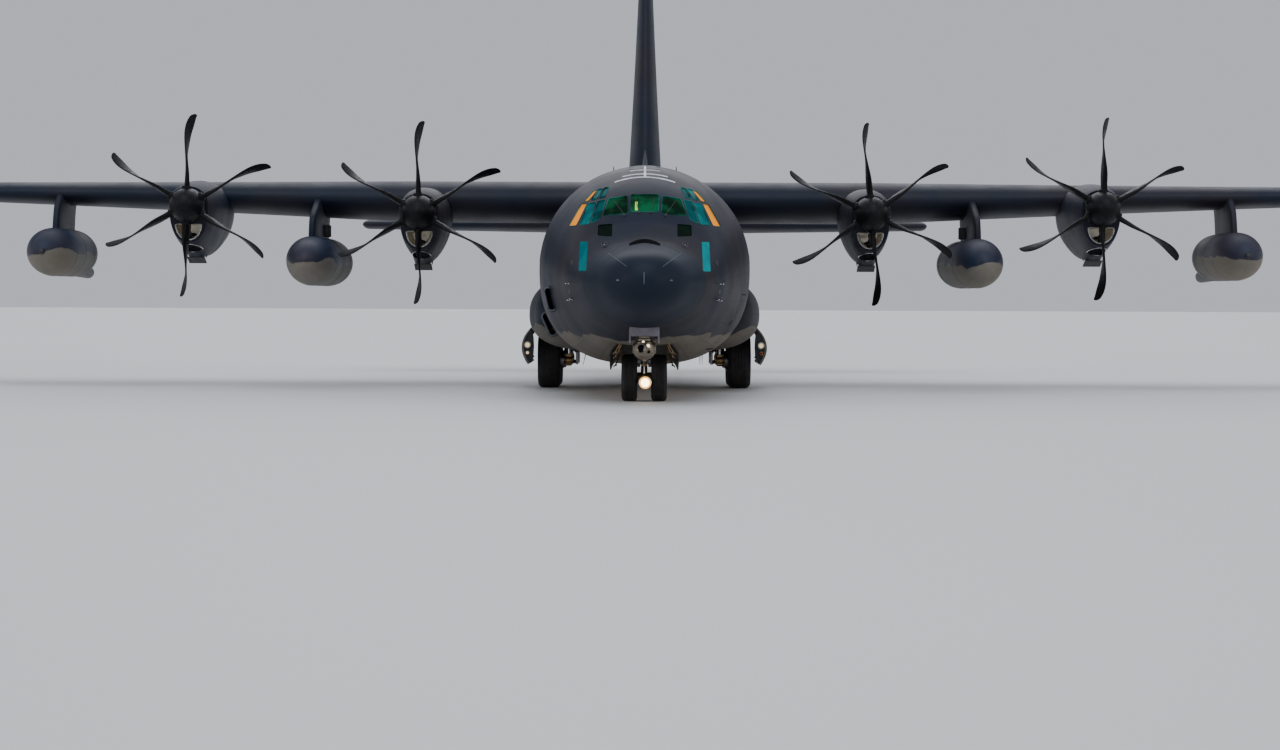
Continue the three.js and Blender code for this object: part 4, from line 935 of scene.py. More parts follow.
class PLANE_OT_stage(bpy.types.Operator):
    """Sets up the pale floor, the soft lights and the camera in front of the nose"""

    bl_idname = "plane.stage"
    bl_label = "Stage and camera"

    def execute(self, context):
        scene, settings = context.scene, context.scene.transport_plane
        reach = 400
        floor = bare("floor",
                     Shape([(-reach, -reach, 0), (reach, -reach, 0), (reach, reach, 0), (-reach, reach, 0)],
                           [[[0, 1, 2, 3]]]))
        floor.data.materials.append(finish("floor"))
        world = bpy.data.worlds.new("studio")
        world.use_nodes = True
        back = world.node_tree.nodes["Background"]
        back.inputs[0].default_value = (0.86, 0.9, 1.0, 1)
        back.inputs[1].default_value = 0.62
        scene.world = world
        # Name, place, spread in degrees, strength and colour
        lights = (
            ("overhead", (0, -9, 17), 60, settings.key_strength, (0.78, 0.88, 1.0)),
            ("low_left", (24, -12, 9), 22, settings.key_strength * 0.25, (1.0, 0.84, 0.68)),
            ("low_right", (-24, -12, 9), 22, settings.key_strength * 0.25, (1.0, 0.84, 0.68)),
            ("behind", (0, 22, 12), 36, settings.key_strength * 0.3, (0.95, 0.96, 1.0)),
        )
        for name, place, spread, strength, colour in lights:
            light = bpy.data.lights.new(name, "SUN")
            light.angle, light.energy, light.color = math.radians(spread), strength, colour
            lamp = bpy.data.objects.new(name, light)
            scene.collection.objects.link(lamp)
            lamp.location = place
            lamp.rotation_euler = (-lamp.location).to_track_quat("-Z", "Y").to_euler()
        camera = bpy.data.objects.new("camera", bpy.data.cameras.new("camera"))
        scene.collection.objects.link(camera)
        camera.data.lens = LENS
        camera.data.clip_end = 500
        camera.location = placed([0, -CAMERA_AHEAD, CAMERA_HEIGHT])
        camera.rotation_euler = Euler(CAMERA_TURN)
        scene.camera = camera
        return {"FINISHED"}


# Fuselage pieces

CREW_DOOR = {"middle": (1.424, 5.5), "half": 0.4, "turn": -11.27, "bottom": 1.08, "top": 2.22}
HINGE_ROOM = 0.014  # lets the entry door swing down past its sill
TROOP_DOOR = {"middle": (2.22, 17.66), "half": 0.46, "turn": 0, "bottom": 1.08, "top": 2.92}
NOSE_WELL = {"half": 0.52, "front": 3.0, "back": 4.75, "roof": 1.78}
WELL = {"inner": 1.62, "outer": 2.6, "front": 11.9, "back": 15.13, "roof": 1.76}
PANES_FRONT, PANES_BACK = 1.9, 4.75

# Cockpit panes as seen from the front: finish, then corners in x and z. The first lies on the centre line,
# and each of the others has a mirror image.
# Each pane's finish glows: painted reflections that differ from pane to pane.
PANES = [
    ("lit green", [(-0.283, 3.91), (0.283, 3.91), (0.283, 4.28), (-0.283, 4.28)]),
    ("green", [(0.34, 3.87), (0.86, 3.83), (0.74, 4.2), (0.36, 4.25)]),
    ("deep teal", [(0.92, 3.76), (1.1, 3.68), (0.975, 4.15), (0.8, 4.18)]),
    ("teal", [(1.14, 3.66), (1.345, 3.65), (1.17, 4.11), (1.01, 4.12)]),
    ("amber", [(1.41, 3.64), (1.58, 3.64), (1.32, 4.11), (1.2, 4.11)]),
    ("deep teal", [(0.835, 4.23), (0.965, 4.205), (0.85, 4.45), (0.735, 4.46)]),
    ("teal", [(1.0, 4.195), (1.12, 4.175), (0.985, 4.42), (0.875, 4.435)]),
    ("amber", [(1.17, 4.165), (1.28, 4.155), (1.075, 4.39), (0.99, 4.405)]),
    ("dim green", [(0.66, 3.39), (0.955, 3.41), (0.95, 3.64), (0.66, 3.66)]),
]


def split_edges(outline, steps):
    """The outline with each edge split into equal steps, so that it can follow a curved skin."""
    t = np.arange(steps).reshape(1, -1, 1) / steps
    return (outline[:, None] * (1 - t) + np.roll(outline, -1, 0)[:, None] * t).reshape(-1, 2)


def pane_outlines():
    """Every pane's finish, label and rounded outline."""
    found = []
    for number, (tint, corners) in enumerate(PANES):
        outline = split_edges(rounded(corners, 0.035), 4)
        if number:
            found += [(tint, f"{number}_left", outline), (tint, f"{number}_right", outline * [-1, 1])]
        else:
            found.append((tint, "0", outline))
    return found


def on_nose(outline, inset):
    """Points of a front view laid on the skin, then moved in along the skin's normal by the inset."""
    y = HULL.station(outline[..., 0], outline[..., 1])
    points = columns(outline[..., 0], y, outline[..., 1])
    return points - HULL.normal(points) * inset


def nose_sheet(outline, outer, inner):
    """A closed sheet of the outline's shape between two depths under the skin: rings shrink to the outline's
    middle on the outer face and grow back on the inner one."""
    middle = outline.mean(0)
    shares = np.linspace(1, 0.05, 8)[:, None, None]
    rings = middle + (outline - middle)[None] * shares
    return loft(np.vstack([on_nose(rings, outer)[::-1], on_nose(rings, inner)]))


def door_block(door, edge=0.0, sill=0.0):
    """The block that cuts a left-hand door from the wall, or its opening when given an edge and a lower
    sill."""
    low = (-0.9, -door["half"] - edge, door["bottom"] - edge - sill)
    high = (1.2, door["half"] + edge, door["top"] + edge)
    return box(low, high).turned(door["turn"], "Z").at(*door["middle"])


def make_solid(name, shape, *steps):
    """A bare piece after its cuts: each step is a shape and True to keep what lies in it, or False to cut
    it."""
    made = bare(name, shape)
    for cutter, keep in steps:
        carve(made, cutter, keep)
    return made


def hull_piece(made, node, body="airframe", finish_name="airframe", slot="upper_paint"):
    bent(made, HULL, hull_map, finish_name, [node], body, slot)


class PLANE_OT_radome(bpy.types.Operator):
    """Builds the nose radome and the seal behind it"""

    bl_idname = "plane.radome"
    bl_label = "Radome"

    def execute(self, context):
        shares = np.linspace(0, 1, 30)
        shape = loft(HULL.rings(RADOME_END * shares**2))
        hull_piece(bare("radome", shape), "nose_radome", finish_name="radome", slot="radome_paint")
        seal = HULL.rings([RADOME_END], 0.004)[0]
        piece("radome_seal", tube(seal, 0.007, 8, closed=True), "seal")
        return {"FINISHED"}


def nose_well_block():
    return box((-NOSE_WELL["half"], NOSE_WELL["front"], -1),
               (NOSE_WELL["half"], NOSE_WELL["back"], NOSE_WELL["roof"]))


class PLANE_OT_flight_deck(bpy.types.Operator):
    """Builds the flight deck's skin with its panes, seals and entry door"""

    bl_idname = "plane.flight_deck"
    bl_label = "Flight deck"

    def execute(self, context):
        outlines = pane_outlines()
        panes = joined(prism(outline, "y", PANES_FRONT, PANES_BACK) for _, _, outline in outlines)
        shell = make_solid("flight_deck_skin", hull_shell(RADOME_END, FLIGHT_DECK_END), (panes, False),
                           (nose_well_block(), False), (door_block(CREW_DOOR, GAP, HINGE_ROOM), False))
        hull_piece(shell, "flight_deck_shell")
        stands_for = ["cockpit_glass"]
        for tint, label, outline in outlines:
            middle = outline.mean(0)
            grown = middle + (outline - middle) * 1.04
            piece(f"pane_{label}", nose_sheet(grown, 0.014, 0.03), tint, slot="window_glass",
                  replaces=stands_for)
            stands_for = []
        bar = np.array([(-0.2, 3.95), (-0.145, 3.95), (-0.15, 4.13), (-0.2, 4.13)])
        piece("windscreen_light_bar", nose_sheet(split_edges(bar, 3), 0.009, 0.0145), "light bar")
        # The seals take the glowing teal frame finish: a painted sheen on their edges.
        seals = joined(tube(on_nose(outline, 0.0), 0.0075, 8, closed=True)
                       for tint, _, outline in outlines if tint != "dim green")
        piece("pane_seals", seals, "frame")
        door = make_solid("crew_door_skin", hull_patch(4.9, 6.1, -85, 12), (door_block(CREW_DOOR), True))
        hull_piece(door, "crew_door", "crew_door")
        return {"FINISHED"}


HOLD_SPLIT = 15.4


def well_block(side):
    return box((WELL["inner"], WELL["front"], -1), (4, WELL["back"], WELL["roof"])).on_side(side)


def hold_inside():
    """The hold's ring frames, floor planks, roller rails and tie-down rings."""
    stations = np.arange(6.9, HOLD_END - 0.1, 0.52)
    clear = (stations < WELL["front"] - 0.2) | (stations > WELL["back"] + 0.2)
    angles = np.radians(np.linspace(-52, 232, 60))
    frames = []
    for y in stations[clear]:
        outer = HULL.rings([y - 0.025, y + 0.025], WALL - 0.005, angles=angles)
        inner = HULL.rings([y - 0.025, y + 0.025], WALL + 0.07, angles=angles)
        frames.append(slab(outer, inner))
    piece("hold_frames", joined(frames), "lining", slot="cabin_lining")
    ys = np.linspace(FLIGHT_DECK_END, HOLD_END, 60)
    half = HULL.side(ys, np.full_like(ys, FLOOR_TOP - 0.05)) - WALL
    half = np.minimum(half, WELL["inner"] - WALL)
    plate = floor_plate(ys, half, FLOOR_BOTTOM, FLOOR_TOP)
    rails = joined(box((x - 0.045, 6.7, FLOOR_TOP), (x + 0.045, HOLD_END - 0.05, FLOOR_TOP + 0.035))
                   for x in (-0.72, -0.36, 0.36, 0.72))
    ring_y = np.arange(7.0, 18.5, 0.55)
    loop = tube(ellipse(0, 0, 0.045, 0.045, 16) @ [[1, 0, 0], [0, 1, 0]], 0.009, 6, closed=True)
    places = [(x, y, FLOOR_TOP + 0.012) for x in (-0.95, -0.54, 0, 0.54, 0.95) for y in ring_y]
    piece("hold_floor", plate + rails + loop.copies(places), "hold floor", slot="cabin_lining")


class PLANE_OT_hold(bpy.types.Operator):
    """Builds the cargo hold's skins, troop doors, frames and floor"""

    bl_idname = "plane.hold"
    bl_label = "Cargo hold"

    def execute(self, context):
        wells = joined(well_block(side) for _, side in SIDES)
        front = make_solid("hold_front_skin", hull_shell(FLIGHT_DECK_END, HOLD_SPLIT), (wells, False))
        hull_piece(front, "cargo_hold_front_shell")
        openings = joined(door_block(TROOP_DOOR, 0.008).on_side(side) for _, side in SIDES)
        rear = make_solid("hold_rear_skin", hull_shell(HOLD_SPLIT, HOLD_END), (openings, False))
        hull_piece(rear, "cargo_hold_rear_shell")
        for name, side in SIDES:
            door = make_solid(f"troop_door_skin_{name}", hull_patch(17.1, 18.2, -85, 30).on_side(side),
                              (door_block(TROOP_DOOR).on_side(side), True))
            hull_piece(door, f"troop_door_{name}")
        hold_inside()
        return {"FINISHED"}


# Ramp and cargo door: each point is along the ramp's slope from its end, and square to it
RAMP_HALF = 1.45
RAMP_START = (18.78, 0.74)
RAMP_END = (21.9, 2.03)
RAMP_DEPTH = 0.27
CARGO_DOOR_END = (25.2, 3.27)
CARGO_DOOR_END_HALF = 0.85
SPLIT_LEAN = 0.15


def rear_outlines():
    """Side views of the ramp, its floor, the cargo door and the opening round both."""
    hy, hz = RAMP_START
    slope = math.atan2(RAMP_END[1] - hz, RAMP_END[0] - hy)

    def off(point, along, up):
        ahead = along - up * SPLIT_LEAN
        return (point[0] + math.cos(slope) * ahead - math.sin(slope) * up,
                point[1] + math.sin(slope) * ahead + math.cos(slope) * up)

    return {
        "ramp": [(hy, -1), (hy, hz + 0.9), off(RAMP_END, 0, 0.9), off(RAMP_END, 0, -1.5)],
        "floor": [(hy, -1), (hy, FLOOR_TOP), off(RAMP_END, 0, RAMP_DEPTH), off(RAMP_END, 0, -1.5)],
        "door": [off(RAMP_END, GAP, -1.5), off(RAMP_END, GAP, 0.9), off(CARGO_DOOR_END, 0, 0.75),
                 off(CARGO_DOOR_END, 0, -1.5)],
        "opening": [(hy - 0.5, -1), (hy - 0.5, hz + 0.9), off(RAMP_END, 0, 0.9),
                    off(CARGO_DOOR_END, GAP, 0.75), off(CARGO_DOOR_END, GAP, -1.5)],
    }


def rear_plan(edge):
    """The plan view of ramp and door together, grown by an edge."""
    a, b = RAMP_HALF + edge, CARGO_DOOR_END_HALF + edge
    y0, y1, y2 = 17, RAMP_END[0], CARGO_DOOR_END[0] + 0.3
    return prism([(-a, y0), (a, y0), (a, y1), (b, y2), (-b, y2), (-a, y1)], "z", -2, 6)


class PLANE_OT_rear(bpy.types.Operator):
    """Builds the rear fuselage, the cargo ramp and the cargo door"""

    bl_idname = "plane.rear"
    bl_label = "Rear fuselage, ramp and door"

    def execute(self, context):
        cutters = {key: prism(outline, "x", -3, 3) for key, outline in rear_outlines().items()}
        plan = (rear_plan(0), True)
        outer = stations_between(HOLD_END, LENGTH)
        inner = stations_between(HOLD_END, LENGTH - 1)[::-1]
        shape = loft(np.vstack([HULL.rings(inner, WALL), HULL.rings(outer)]))
        opening = make_solid("opening", cutters["opening"], (rear_plan(GAP), True))
        shell = bare("rear_skin", shape)
        carve(shell, opening)
        hull_piece(shell, "rear_fuselage_shell")
        solid = loft(HULL.rings(stations_between(HOLD_END + 0.02, 23.0)))
        ramp = make_solid("ramp_skin", solid, (cutters["floor"], True), plan)
        walls = make_solid("ramp_walls", hull_shell(HOLD_END + 0.02, 23.0), (cutters["ramp"], True), plan)
        carve(ramp, walls, how="UNION")
        hull_piece(ramp, "cargo_ramp", "cargo_ramp")
        door = make_solid("cargo_door_skin", hull_shell(21.0, 26.2), (cutters["door"], True), plan)
        hull_piece(door, "cargo_door", "cargo_door")
        return {"FINISHED"}


# Wings and tail

WING = {
    "joint": 5.6,
    "lead": (11.25, 11.855), "chord": (4.88, 2.46), "thick": (0.195, 0.12), "height": (4.43, 4.645),
    "twist": (3.0, 0.0), "camber": 0.015,
}
FLAP_FRONT, AILERON_FRONT = 0.73, 0.76
# Surfaces of each wing: name, inner and outer end, front edge as a share of the chord
SURFACES = [
    ("flap_inner", 2.36, 5.45, FLAP_FRONT),
    ("flap_outer", 5.75, 13.05, FLAP_FRONT),
    ("aileron", 13.25, 19.6, AILERON_FRONT),
]
TIP_LENGTH = 0.35
END_GAP = 0.04


def wing_piece(made, plan, replaces=(), body="airframe"):
    """Finishes a skin of the wings or the tail."""
    finished(made, "airframe", body, "wing_paint", replaces, plan)


def foil_half(u, thick):
    """The four-digit thickness law: half thickness at a share of the chord, as a share of the chord."""
    return 5 * thick * (0.2969 * np.sqrt(u) - 0.126 * u - 0.3516 * u**2 + 0.2843 * u**3 - 0.1036 * u**4)


def foil_stops(count=36, front=0.0):
    """Shares of the chord from the trailing edge over the top to the front and back below, with their
    side."""
    u = front + (1 - front) * (1 + np.cos(np.linspace(0, math.pi, count))) / 2
    return np.concatenate([u, u[-2::-1]]), np.concatenate([np.ones(count), -np.ones(count - 1)])


def wing_points(x, u, side, shrink=1.0, flatten=1.0):
    """Points of the wing's surface: x may be a column and u a row. The chord line turns by the twist about
    the leading edge, and the tip cap shrinks and flattens the section."""
    share = np.maximum(0, (np.abs(x) - WING["joint"]) / (HALF_SPAN - WING["joint"]))
    lead, chord, thick, height, twist = (
        first + (second - first) * share for first, second in
        (WING[key] for key in ("lead", "chord", "thick", "height", "twist")))
    twist = np.radians(twist)
    mean = 4 * WING["camber"] * u * (1 - u) * chord
    up = mean + side * (foil_half(u, thick) * chord + 0.004) * flatten
    back = (0.3 + (u - 0.3) * shrink) * chord
    y = lead + back * np.cos(twist) + up * np.sin(twist)
    z = height - back * np.sin(twist) + up * np.cos(twist)
    return columns(x, y, z)


def wing_loft(xs, tip=False):
    u, side = foil_stops()
    rings = [wing_points(np.asarray(xs, float)[:, None], u, side)]
    if tip:
        turn = np.radians(np.linspace(8, 90, 12))[:, None]
        out = HALF_SPAN - TIP_LENGTH + TIP_LENGTH * np.sin(turn)
        shrink = 1 - 0.3 * (1 - np.cos(turn))
        flatten = np.cos(turn) ** 0.7 * 0.97 + 0.03
        rings.append(wing_points(out, u, side, shrink, flatten))
    return loft(np.vstack(rings))


def nose_arc(top, low):
    """Points round half circles in y and z, from each top point over the front to its low point."""
    middle, half = (top + low) / 2, (top - low) / 2
    angle = np.linspace(0, math.pi, 9)[1:-1, None]
    reach = np.linalg.norm(half, axis=-1)[:, None, None]
    forward = np.array([0, -1.0, 0])
    return middle[:, None] + half[:, None] * np.cos(angle) + forward * np.sin(angle) * reach


def surface_loft(start, end, front):
    """A flap or aileron: a round nose, then the wing's own outline to the trailing edge."""
    xs = np.linspace(start, end, 24)[:, None]
    u, side = foil_stops(20, front)
    body = wing_points(xs, u, side)
    top, low = wing_points(xs, np.array([front]), 1)[:, 0], wing_points(xs, np.array([front]), -1)[:, 0]
    upper, lower = body[:, :19], body[:, 20:]
    return loft(np.concatenate([upper, top[:, None], nose_arc(top, low), low[:, None], lower], 1))


def bay_block(start, end, front):
    """The room cut from the wing for a surface: everything behind the front of its nose."""
    rings = []
    for x in (start, end):
        top, low = wing_points(x, np.array([front]), 1)[0], wing_points(x, np.array([front]), -1)[0]
        y = (top[1] + low[1]) / 2 - np.linalg.norm(top - low) / 2 - GAP
        rings.append([(x, y, 6.5), (x, y, 3), (x, y + 5, 3), (x, y + 5, 6.5)])
    return loft(rings)


class PLANE_OT_wings(bpy.types.Operator):
    """Builds the wing's three parts with its flaps and ailerons"""

    bl_idname = "plane.wings"
    bl_label = "Wings"

    def execute(self, context):
        plan, joint = plain_map(0, 1), WING["joint"]
        inner = joined(bay_block(a - END_GAP, b + END_GAP, f) for _, a, b, f in SURFACES[:1])
        centre = make_solid("wing_center_skin", wing_loft(np.linspace(-joint, joint, 41)),
                            (inner + inner.on_side(-1), False))
        wing_piece(centre, plan, ["wing_center"])
        outer_bays = [bay_block(a - END_GAP, b + END_GAP, f) for _, a, b, f in SURFACES[1:]]
        for name, side in SIDES:
            outer = wing_loft(np.linspace(joint, HALF_SPAN - TIP_LENGTH, 44), tip=True)
            wing = make_solid(f"wing_{name}_skin", outer.on_side(side),
                              *((bay.on_side(side), False) for bay in outer_bays))
            wing_piece(wing, plan, [f"wing_{name}"])
            for surface, start, end, front in SURFACES:
                node = f"{surface}_{name}"
                made = bare(f"{node}_skin", surface_loft(start, end, front).on_side(side))
                wing_piece(made, plan, [node], node)
        return {"FINISHED"}


TAIL_HALF_SPAN = 8.03
TAIL_CAP = 0.2  # length of the tailplane's rounded tips
FIN_CAP = 0.25
FIN = {"lead": (21.9, 25.55), "trail": (28.35, 28.0), "root": 4.3, "thick": (0.16, 0.125)}
RUDDER = {"bottom": 5.36, "top": 11.3, "front": 0.69}
TAILPLANE = {"z": 4.2, "lead": (24.55, 26.1), "trail": (28.75, 28.0), "thick": (0.125, 0.125)}
ELEVATOR = {"inner": 0.85, "outer": 7.55, "hinge": 27.2}


def tail_edges(share, sizes):
    """The leading and trailing edge and the thickness share at shares of the span."""
    return [first + (second - first) * share for first,
            second in (sizes["lead"], sizes["trail"], sizes["thick"])]


def tail_rings(share, sizes, shrink=1.0, flatten=1.0):
    """Symmetric sections at shares of the span, as station and half thickness."""
    u, side = foil_stops(28)
    share = np.asarray(share, float)[:, None]
    lead, trail, thick = tail_edges(share, sizes)
    chord = trail - lead
    y = lead + chord * (0.5 + (u - 0.5) * shrink)
    out = side * (foil_half(u, thick) * chord + 0.005) * flatten
    return y, out


def control_rings(hinge, trail, half):
    """A rudder's or elevator's section: a round nose about the hinge, then straight sides to the trailing
    edge."""
    angle = np.linspace(math.pi / 2, 3 * math.pi / 2, 9)
    y = np.concatenate([np.broadcast_to(trail, (len(hinge), 1)), hinge + half * np.cos(angle),
                        np.broadcast_to(trail, (len(hinge), 1))], 1)
    out = np.concatenate([np.full((len(hinge), 1), 0.012), half * np.sin(angle),
                          np.full((len(hinge), 1), -0.012)], 1)
    return y, out


def upright(y, out, z):
    return columns(out, y, z)


def level(y, out, x):
    return columns(x, y, TAILPLANE["z"] + out)


def build_fin():
    plan = plain_map(1, 2)
    root, tall = FIN["root"], FIN_TOP - FIN["root"]
    zs = np.linspace(TAILPLANE["z"] + 0.35, FIN_TOP - FIN_CAP, 40)
    y, out = tail_rings((zs - root) / tall, FIN)
    rings = [upright(y, out, zs[:, None])]
    turn = np.radians(np.linspace(10, 90, 9))[:, None]
    cap_z = FIN_TOP - FIN_CAP + FIN_CAP * np.sin(turn)
    y, out = tail_rings(((cap_z - root) / tall)[:, 0], FIN, 1 - 0.22 * (1 - np.cos(turn)),
                        np.cos(turn) ** 0.7 + 0.02)
    rings.append(upright(y, out, cap_z))
    share = (np.array([RUDDER["bottom"], RUDDER["top"]]) - root) / tall
    lead, trail, thick = tail_edges(share, FIN)
    hinge = lead + (trail - lead) * RUDDER["front"]
    half = foil_half(RUDDER["front"], thick) * (trail - lead) + 0.005
    ends = [RUDDER["bottom"] - END_GAP, RUDDER["top"] + END_GAP]
    bay = loft([[(-1, front, z), (1, front, z), (1, front + 3, z), (-1, front + 3, z)]
                for front, z in zip(hinge - half - GAP, ends)])
    fin = make_solid("fin_skin", loft(np.vstack(rings)), (bay, False))
    wing_piece(fin, plan, ["fin"])
    at = np.linspace(0, 1, 16)[:, None]
    y, out = control_rings(hinge[0] + (hinge[1] - hinge[0]) * at, trail[0] + (trail[1] - trail[0]) * at,
                           half[0] + (half[1] - half[0]) * at)
    rudder = loft(upright(y, out, RUDDER["bottom"] + (RUDDER["top"] - RUDDER["bottom"]) * at))
    wing_piece(bare("rudder_skin", rudder), plan, ["rudder"], "rudder")
    share = np.linspace(0, 1, 30)[:, None]
    angle = np.linspace(0, math.pi, 25)[None]
    half_width = 0.03 + 0.2 * share
    height = 0.2 + 1.4 * share**1.1
    ridge = columns(half_width * np.cos(angle), 17.6 + 5.3 * share,
                    4.7 + height * (1 - np.abs(np.cos(angle)) ** 1.25))
    wing_piece(bare("fin_fillet", loft(ridge)), plan)


def build_tailplane():
    plan = plain_map(0, 1)
    xs = np.linspace(-TAIL_HALF_SPAN + TAIL_CAP, TAIL_HALF_SPAN - TAIL_CAP, 61)
    y, out = tail_rings(np.abs(xs) / TAIL_HALF_SPAN, TAILPLANE)
    rings = [level(y, out, xs[:, None])]
    turn = np.radians(np.linspace(10, 90, 9))[:, None]
    cap_x = TAIL_HALF_SPAN - TAIL_CAP + TAIL_CAP * np.sin(turn)
    y, out = tail_rings((cap_x / TAIL_HALF_SPAN)[:, 0], TAILPLANE, 1 - 0.2 * (1 - np.cos(turn)),
                        np.cos(turn) ** 0.7 + 0.02)
    rings.append(level(y, out, cap_x))
    rings.insert(0, (level(y, out, cap_x) * [-1, 1, 1])[::-1])
    ends = np.array([ELEVATOR["inner"], ELEVATOR["outer"]])
    lead, trail, thick = tail_edges(ends / TAIL_HALF_SPAN, TAILPLANE)
    chord = trail - lead
    half = foil_half((ELEVATOR["hinge"] - lead) / chord, thick) * chord + 0.005
    bay = loft([[level(np.array(front + back), up, x) for back, up in ((0, -1), (0, 1), (3, 1), (3, -1))]
                for front, x in zip(ELEVATOR["hinge"] - half - GAP, ends + [-GAP, GAP])])
    made = make_solid("tailplane_skin", loft(np.vstack(rings)), (bay, False), (bay.on_side(-1), False))
    wing_piece(made, plan, ["tailplane"])
    at = np.linspace(0, 1, 20)[:, None]
    y, out = control_rings(np.full((20, 1), ELEVATOR["hinge"]), trail[0] + (trail[1] - trail[0]) * at,
                           half[0] + (half[1] - half[0]) * at)
    elevator = loft(level(y, out, ends[0] + (ends[1] - ends[0]) * at))
    for name, side in SIDES:
        node = f"elevator_{name}"
        wing_piece(bare(f"{node}_skin", elevator.on_side(side)), plan, [node], node)


class PLANE_OT_tail(bpy.types.Operator):
    """Builds the fin with its fillet, the rudder, the tailplane and the elevators"""

    bl_idname = "plane.tail"
    bl_label = "Tail"

    def execute(self, context):
        build_fin()
        build_tailplane()
        return {"FINISHED"}


# Engines and propellers

NACELLE_FRONT = 8.92
PROP_PLANE = 8.6
PROP_TURNS = {1: 0.5, 2: 6.2, 3: 1.5, 4: -0.5}  # degrees that each parked propeller stands from upright
SPINNER_RADIUS = 0.39
SHAFT_RADIUS = 0.18
PROP_RADIUS = 2.057
# Sections about the thrust line, with the columns of a Body
NACELLE = [
    [8.92, 0.44, 0.43, 0, -0.83, 2.2, 2.3],
    [9.2, 0.48, 0.5, 0, -0.94, 2.2, 2.1],
    [9.8, 0.53, 0.58, 0, -1.07, 2.2, 1.85],
    [10.8, 0.56, 0.63, 0, -1.14, 2.2, 1.7],
    [11.7, 0.56, 0.6, 0, -1.1, 2.2, 1.7],
    [12.7, 0.5, 0.36, 0, -0.92, 2.2, 1.8],
    [13.5, 0.38, 0.16, 0, -0.68, 2.2, 2],
    [14.0, 0.27, 0.08, 0, -0.46, 2.2, 2],
]
# The oil cooler's flared outlet under it
SCOOP = [
    [9.45, 0.2, -0.6, -0.85, -0.99, 2, 2.2],
    [9.6, 0.225, -0.6, -0.85, -1.05, 2, 2.3],
    [9.9, 0.235, -0.6, -0.85, -1.12, 2, 2.6],
    [10.34, 0.225, -0.6, -0.85, -1.27, 2, 3.2],
]
OUTLET_END = 10.34
INTAKE_DROP, COOLER_DROP = 0.415, 0.95  # how far the two ducts lie under the thrust line
BLADE_TIP = 1.98  # radius at which a blade's rounded tip begins
# Blade sections: radius, chord, thickness, pitch in degrees, shift of the middle towards the trailing edge
BLADE = np.array([
    [0.3, 0.16, 0.15, 118, 0],
    [0.55, 0.25, 0.1, 113, 0],
    [0.85, 0.37, 0.07, 103, -0.02],
    [1.2, 0.41, 0.05, 90, 0],
    [1.55, 0.38, 0.036, 76, 0.04],
    [1.82, 0.33, 0.026, 64, 0.12],
    [BLADE_TIP, 0.25, 0.018, 60, 0.2],
    [PROP_RADIUS, 0.1, 0.01, 58, 0.27],
])


def cup(rings, wall):
    """A liner in a duct that is closed at its deep end: the rings run inwards from its mouth, and the inner
    face is their copy shrunk by the wall."""
    rings = np.asarray(rings, float)
    middle = rings.mean(1, keepdims=True)
    reach = np.linalg.norm(rings - middle, axis=-1).mean(1)[:, None, None]
    inner = middle + (rings - middle) * (1 - wall / reach)
    inner[-1, :, 1] -= wall
    return loft(np.vstack([inner[::-1], rings]))


def pipe(path, radius, wall, sides=40):
    """A round wall along a path, open at both ends."""
    path = np.asarray(path, float)
    across, up = frame_of(np.gradient(path, axis=0))
    angle = turns(sides)
    circle = across[:, None] * np.cos(angle)[:, None] + up[:, None] * np.sin(angle)[:, None]
    radius = np.broadcast_to(radius, len(path)).reshape(-1, 1, 1)
    return loft(np.vstack([path[:, None] + circle * radius,
                           (path[:, None] + circle * (radius - wall))[::-1]]), wrap=True)


def body_map(centre_x, centre_z, radius, edge):
    """A skin map for a round body off the centre line: along, round from its top, and height over the paint
    edge."""
    def made(points):
        angle = np.abs(np.arctan2(points[:, 0] - centre_x, points[:, 2] - centre_z))
        return columns(points[:, 1], angle * radius, points[:, 2] - centre_z - edge) * MODEL_SCALE
    return made


def intake_mouth(x, z, stations, scales):
    """The intake's duct: half ellipses that hang from a flat top and shrink as they go aft."""
    angle = np.linspace(math.pi, 2 * math.pi, 25)
    outline = rounded(columns(0.29 * np.cos(angle), 0.35 * np.sin(angle)), 0.012, 2)
    rings = []
    for y, scale in zip(stations, scales):
        rings.append(columns(x + outline[:, 0] * scale, y, z - INTAKE_DROP + outline[:, 1] * scale))
    return np.array(rings)


def cooler_rings(x, z, stations, scale):
    outline = ellipse(0, 0, 0.2, 0.08, 40)
    return np.array([columns(x + outline[:, 0] * scale, y, z - COOLER_DROP + outline[:, 1] * scale)
                     for y in stations])


def build_nacelle(number, x, z):
    shape = Body(NACELLE, x, z)
    stations = np.concatenate([NACELLE_FRONT + 0.03 * np.linspace(0, 1, 4) ** 2, np.arange(9.05, 14.0, 0.11),
                               [14.0]])
    rings = shape.rings(stations, count=72)
    rings[0] = np.array([x, NACELLE_FRONT, z]) + (rings[0] - [x, NACELLE_FRONT, z]) * 0.975
    duct = loft(intake_mouth(x, z, (8.0, 8.93, 9.75), (1, 1, 0.72)))
    cooler = loft(cooler_rings(x, z, (8.7, 10.1), 1))
    bore = rod([x, 13.1, z - 0.215], [x, 15, z - 0.33], 0.172, 40)
    skin = make_solid(f"nacelle_skin_{number}", loft(rings), (duct, False), (cooler, False), (bore, False))
    plan = body_map(x, z, 0.55, -2)
    bent(skin, shape, plan, "small panels", [f"nacelle_{number}"])
    scoop_shape = Body(SCOOP, x, z)
    outlet = box((x - 0.19, 10.12, z - 1.225), (x + 0.19, 10.6, z - COOLER_DROP))
    scoop = make_solid(f"cooler_scoop_{number}",
                       loft(scoop_shape.rings(stations_between(9.45, OUTLET_END, 0.05), count=56)),
                       (cooler, False), (outlet, False))
    bent(scoop, scoop_shape, plan, "small panels")
    nacelle_details(number, x, z, shape)
    nacelle_exhaust(number, x, z)


